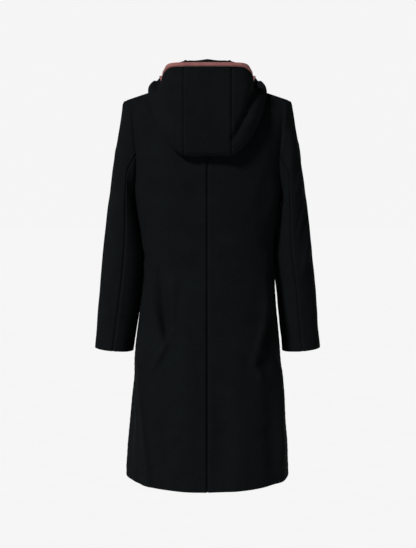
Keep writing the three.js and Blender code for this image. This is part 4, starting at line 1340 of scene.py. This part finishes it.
class COAT_OT_fastenings(bpy.types.Operator):
    """Make the toggles, their cords and loops, and the patches that hold them"""

    bl_idname = "coat.fastenings"
    bl_label = "Fastenings"

    def execute(self, context):
        fronts = [bpy.data.objects[f"front_{side}_panel"] for side in ("left", "right")]
        depsgraph = context.evaluated_depsgraph_get()
        trees = [BVHTree.FromObject(front, depsgraph) for front in fronts]

        def on_fronts(x, z):
            hits = [t.ray_cast(Vector((x, -1000, z)) * METRES, Vector((0, 1, 0)))[0] for t in trees]
            found = [hit for hit in hits if hit is not None]
            if not found:
                raise RuntimeError(f"no front at {x}, {z}")
            return np.array(min(found, key=lambda hit: hit.y)) / METRES

        def above(x, z, height):
            step = LIE_SPAN if x > OVERLAP - 1 else -LIE_SPAN
            aside = on_fronts(x + step, z) - on_fronts(x, z)
            up = on_fronts(x, z + LIE_SPAN) - on_fronts(x, z - LIE_SPAN)
            out = unit(np.cross(aside, up))
            return on_fronts(x, z) + out * (height if out[1] < 0 else -height)

        for k in range(FASTENINGS):
            z = FIRST_FASTENING_Z - k * FASTENING_STEP
            name = f"fastening_{k + 1}"
            self.make_toggle(name, z, above)
            self.make_cord(f"{name}_toggle_cord", z, above, TOGGLE_CORD)
            self.make_cord(f"{name}_loop", z, above, LOOP)
            for part, x in PATCH_X.items():
                self.make_patch(f"{name}_{part}_patch", x, z, above)
        return {"FINISHED"}

    def make_toggle(self, name, z, above):
        half = TOGGLE["length"] / 2
        middle = above(TOGGLE["x"], z, TOGGLE["height"])
        ends = [above(TOGGLE["x"], z + d, TOGGLE["height"]) for d in (half, -half)]
        axis = unit(ends[0] - ends[1])
        at, radius = TOGGLE_PROFILE["at"], TOGGLE_PROFILE["radius"]
        points = [middle + axis * share * half for share in (*-at[::-1], *at)]
        obj = new_object(f"{name}_horn_toggle", *tube(points, np.r_[radius[::-1], radius], 28))
        dressed(obj, [f"{name}_toggle"], "toggle")

    def make_cord(self, name, z, above, route):
        knots = np.array([above(x, z + up, height) for x, up, height in zip(*route.values())])
        step = np.linalg.norm(np.diff(knots, axis=0), axis=-1)
        at = np.r_[0, np.cumsum(step)]
        line = smooth_curve(at, knots)(np.linspace(0, at[-1], 90))
        obj = new_object(f"{name}_lace", *tube(line, CORD_RADIUS, 12))
        dressed(obj, [name], "leather")

    def make_patch(self, name, x, z, above):
        """A leather patch with bevelled edges, and the stitches that hold it down."""
        cells = np.linspace(-1, 1, 25)
        a, b = np.meshgrid(cells, cells, indexing="ij")
        over = x + a * PATCH["half"] * np.sqrt(1 - PATCH["corner"] * b * b)
        up = z + b * PATCH["half_height"] * np.sqrt(1 - PATCH["corner"] * a * a)
        rim = np.minimum(1 - np.abs(a), 1 - np.abs(b)) * PATCH["half_height"]
        rounded = np.sqrt(clamp(rim / PATCH_EDGE["bevel"]))
        height = PATCH["rise"] + PATCH["thickness"] * mix(PATCH_EDGE["rim"], 1, rounded)
        groove = bump((rim - PATCH_EDGE["groove_at"]) / PATCH_EDGE["groove_width"])
        height = height - PATCH_EDGE["groove_depth"] * groove
        outer = np.array([[above(*q) for q in zip(*row)] for row in zip(over, up, height)])
        inner = np.array([[above(*q) for q in zip(*row)] for row in zip(over, up, a * 0 + PATCH["rise"])])
        size = len(cells)
        count = size**2
        faces = []
        for i in range(size - 1):
            for j in range(size - 1):
                q = [i * size + j, (i + 1) * size + j, (i + 1) * size + j + 1, i * size + j + 1]
                faces += [q, [count + k for k in reversed(q)]]
        rim_line = (
            list(range(size))
            + [i * size + size - 1 for i in range(1, size)]
            + [(size - 1) * size + j for j in range(size - 2, -1, -1)]
            + [i * size for i in range(size - 2, 0, -1)]
        )
        for k, here in enumerate(rim_line):
            after = rim_line[(k + 1) % len(rim_line)]
            faces.append([here, after, count + after, count + here])
        obj = new_object(f"{name}_hide", np.vstack([outer.reshape(-1, 3), inner.reshape(-1, 3)]), faces)
        dressed(obj, [name], "leather")
        turn = np.linspace(0, 2 * np.pi, 97)
        inset = 1 - PATCH_EDGE["groove_at"] / PATCH["half_height"]
        around = np.array((np.cos(turn), np.sin(turn)))
        around = np.sign(around) * np.abs(around) ** PATCH_THREAD["roundness"] * inset
        around = around * ((PATCH["half"] * PATCH_THREAD["inset"],), (PATCH["half_height"],))
        thread_height = PATCH["rise"] + PATCH_THREAD["above"]
        line = np.array([above(x + p, z + q, thread_height) for p, q in around.T])
        out = unit(np.cross(outer[-1, 0] - outer[0, 0], outer[0, -1] - outer[0, 0]))
        out = np.tile(out * -np.sign(out[1]), (len(line), 1))
        sewn = new_object(f"{name}_stitches", *joined(stitches(line, out)))
        dressed(sewn, (), "thread")


class COAT_OT_stage(bpy.types.Operator):
    """Make the floor, the lights and the camera"""

    bl_idname = "coat.stage"
    bl_label = "Stage"

    FLOOR_Z = -2.0
    FLOOR_SIZE = 60.0
    LIGHT_ANGLE = 10.0
    LIGHT_TOWARD = (-0.5, -0.58, -0.62)
    CAMERA_X = -0.0012

    def execute(self, context):
        stage = context.scene.duffle_stage
        half = self.FLOOR_SIZE / 2 / METRES
        z = self.FLOOR_Z / METRES
        corners = [(-half, -half, z), (half, -half, z), (half, half, z), (-half, half, z)]
        floor = new_object("floor", corners, [(0, 1, 2, 3)])
        floor.data.materials.append(material_for("floor"))
        self.make_lights(context, stage)
        self.make_camera(context, stage)
        return {"FINISHED"}

    def make_lights(self, context, stage):
        world = bpy.data.worlds.new("Soft studio")
        world.use_nodes = True
        tree = world.node_tree
        tree.nodes.clear()
        seen = add_node(tree, "ShaderNodeLightPath").outputs["Is Camera Ray"]
        lit, backdrop = (
            add_node(tree, "ShaderNodeBackground", Color=colour, Strength=strength).outputs["Background"]
            for colour, strength in (((1, 1, 1, 1), stage.sky), (linear(stage.backdrop), 1.0))
        )
        both = add_node(tree, "ShaderNodeMixShader", _0=seen, _1=lit, _2=backdrop)
        add_node(tree, "ShaderNodeOutputWorld", Surface=both.outputs["Shader"])
        context.scene.world = world
        context.scene.view_settings.view_transform = "Standard"
        light = bpy.data.lights.new("key", "SUN")
        light.energy = stage.key
        light.angle = np.radians(self.LIGHT_ANGLE)
        obj = bpy.data.objects.new("key", light)
        obj.rotation_mode = "QUATERNION"
        obj.rotation_quaternion = Vector(self.LIGHT_TOWARD).to_track_quat("-Z", "Y")
        context.scene.collection.objects.link(obj)

    def make_camera(self, context, stage):
        data = bpy.data.cameras.new("photo_view")
        data.sensor_width = 36.0
        data.lens = stage.lens
        data.shift_y = stage.shift
        camera = bpy.data.objects.new("photo_view", data)
        camera.location = (self.CAMERA_X, stage.distance, stage.height)
        camera.rotation_mode = "QUATERNION"
        aim = Vector((0, -np.cos(stage.tilt), -np.sin(stage.tilt)))
        camera.rotation_quaternion = aim.to_track_quat("-Z", "Y")
        context.scene.collection.objects.link(camera)
        context.scene.camera = camera


class COAT_PT_panel(bpy.types.Panel):
    """The coat's settings and the buttons that make its pieces"""

    bl_idname = "COAT_PT_panel"
    bl_label = "Duffle Coat"
    bl_space_type = "VIEW_3D"
    bl_region_type = "UI"
    bl_category = "Duffle Coat"

    def draw(self, context):
        for settings in (context.scene.duffle_cut, context.scene.duffle_finish, context.scene.duffle_stage):
            box = self.layout.box()
            for name in settings.__annotations__:
                box.prop(settings, name)
        for operator in OPERATORS:
            self.layout.operator(operator.bl_idname)


OPERATORS = (COAT_OT_body, COAT_OT_sleeves, COAT_OT_hood, COAT_OT_fastenings, COAT_OT_stage)
SETTINGS = (
    ("duffle_cut", DuffleCut),
    ("duffle_finish", DuffleFinish),
    ("duffle_stage", DuffleStage),
)


def register():
    for name, group in SETTINGS:
        bpy.utils.register_class(group)
        setattr(bpy.types.Scene, name, bpy.props.PointerProperty(type=group))
    for shown in (*OPERATORS, COAT_PT_panel):
        bpy.utils.register_class(shown)


def unregister():
    for shown in reversed((*OPERATORS, COAT_PT_panel)):
        bpy.utils.unregister_class(shown)
    for name, group in reversed(SETTINGS):
        delattr(bpy.types.Scene, name)
        bpy.utils.unregister_class(group)


def main():
    register()
    bpy.ops.coat.body()
    bpy.ops.coat.sleeves()
    bpy.ops.coat.hood()
    bpy.ops.coat.fastenings()
    bpy.ops.coat.stage()


if __name__ == "__main__":
    main()
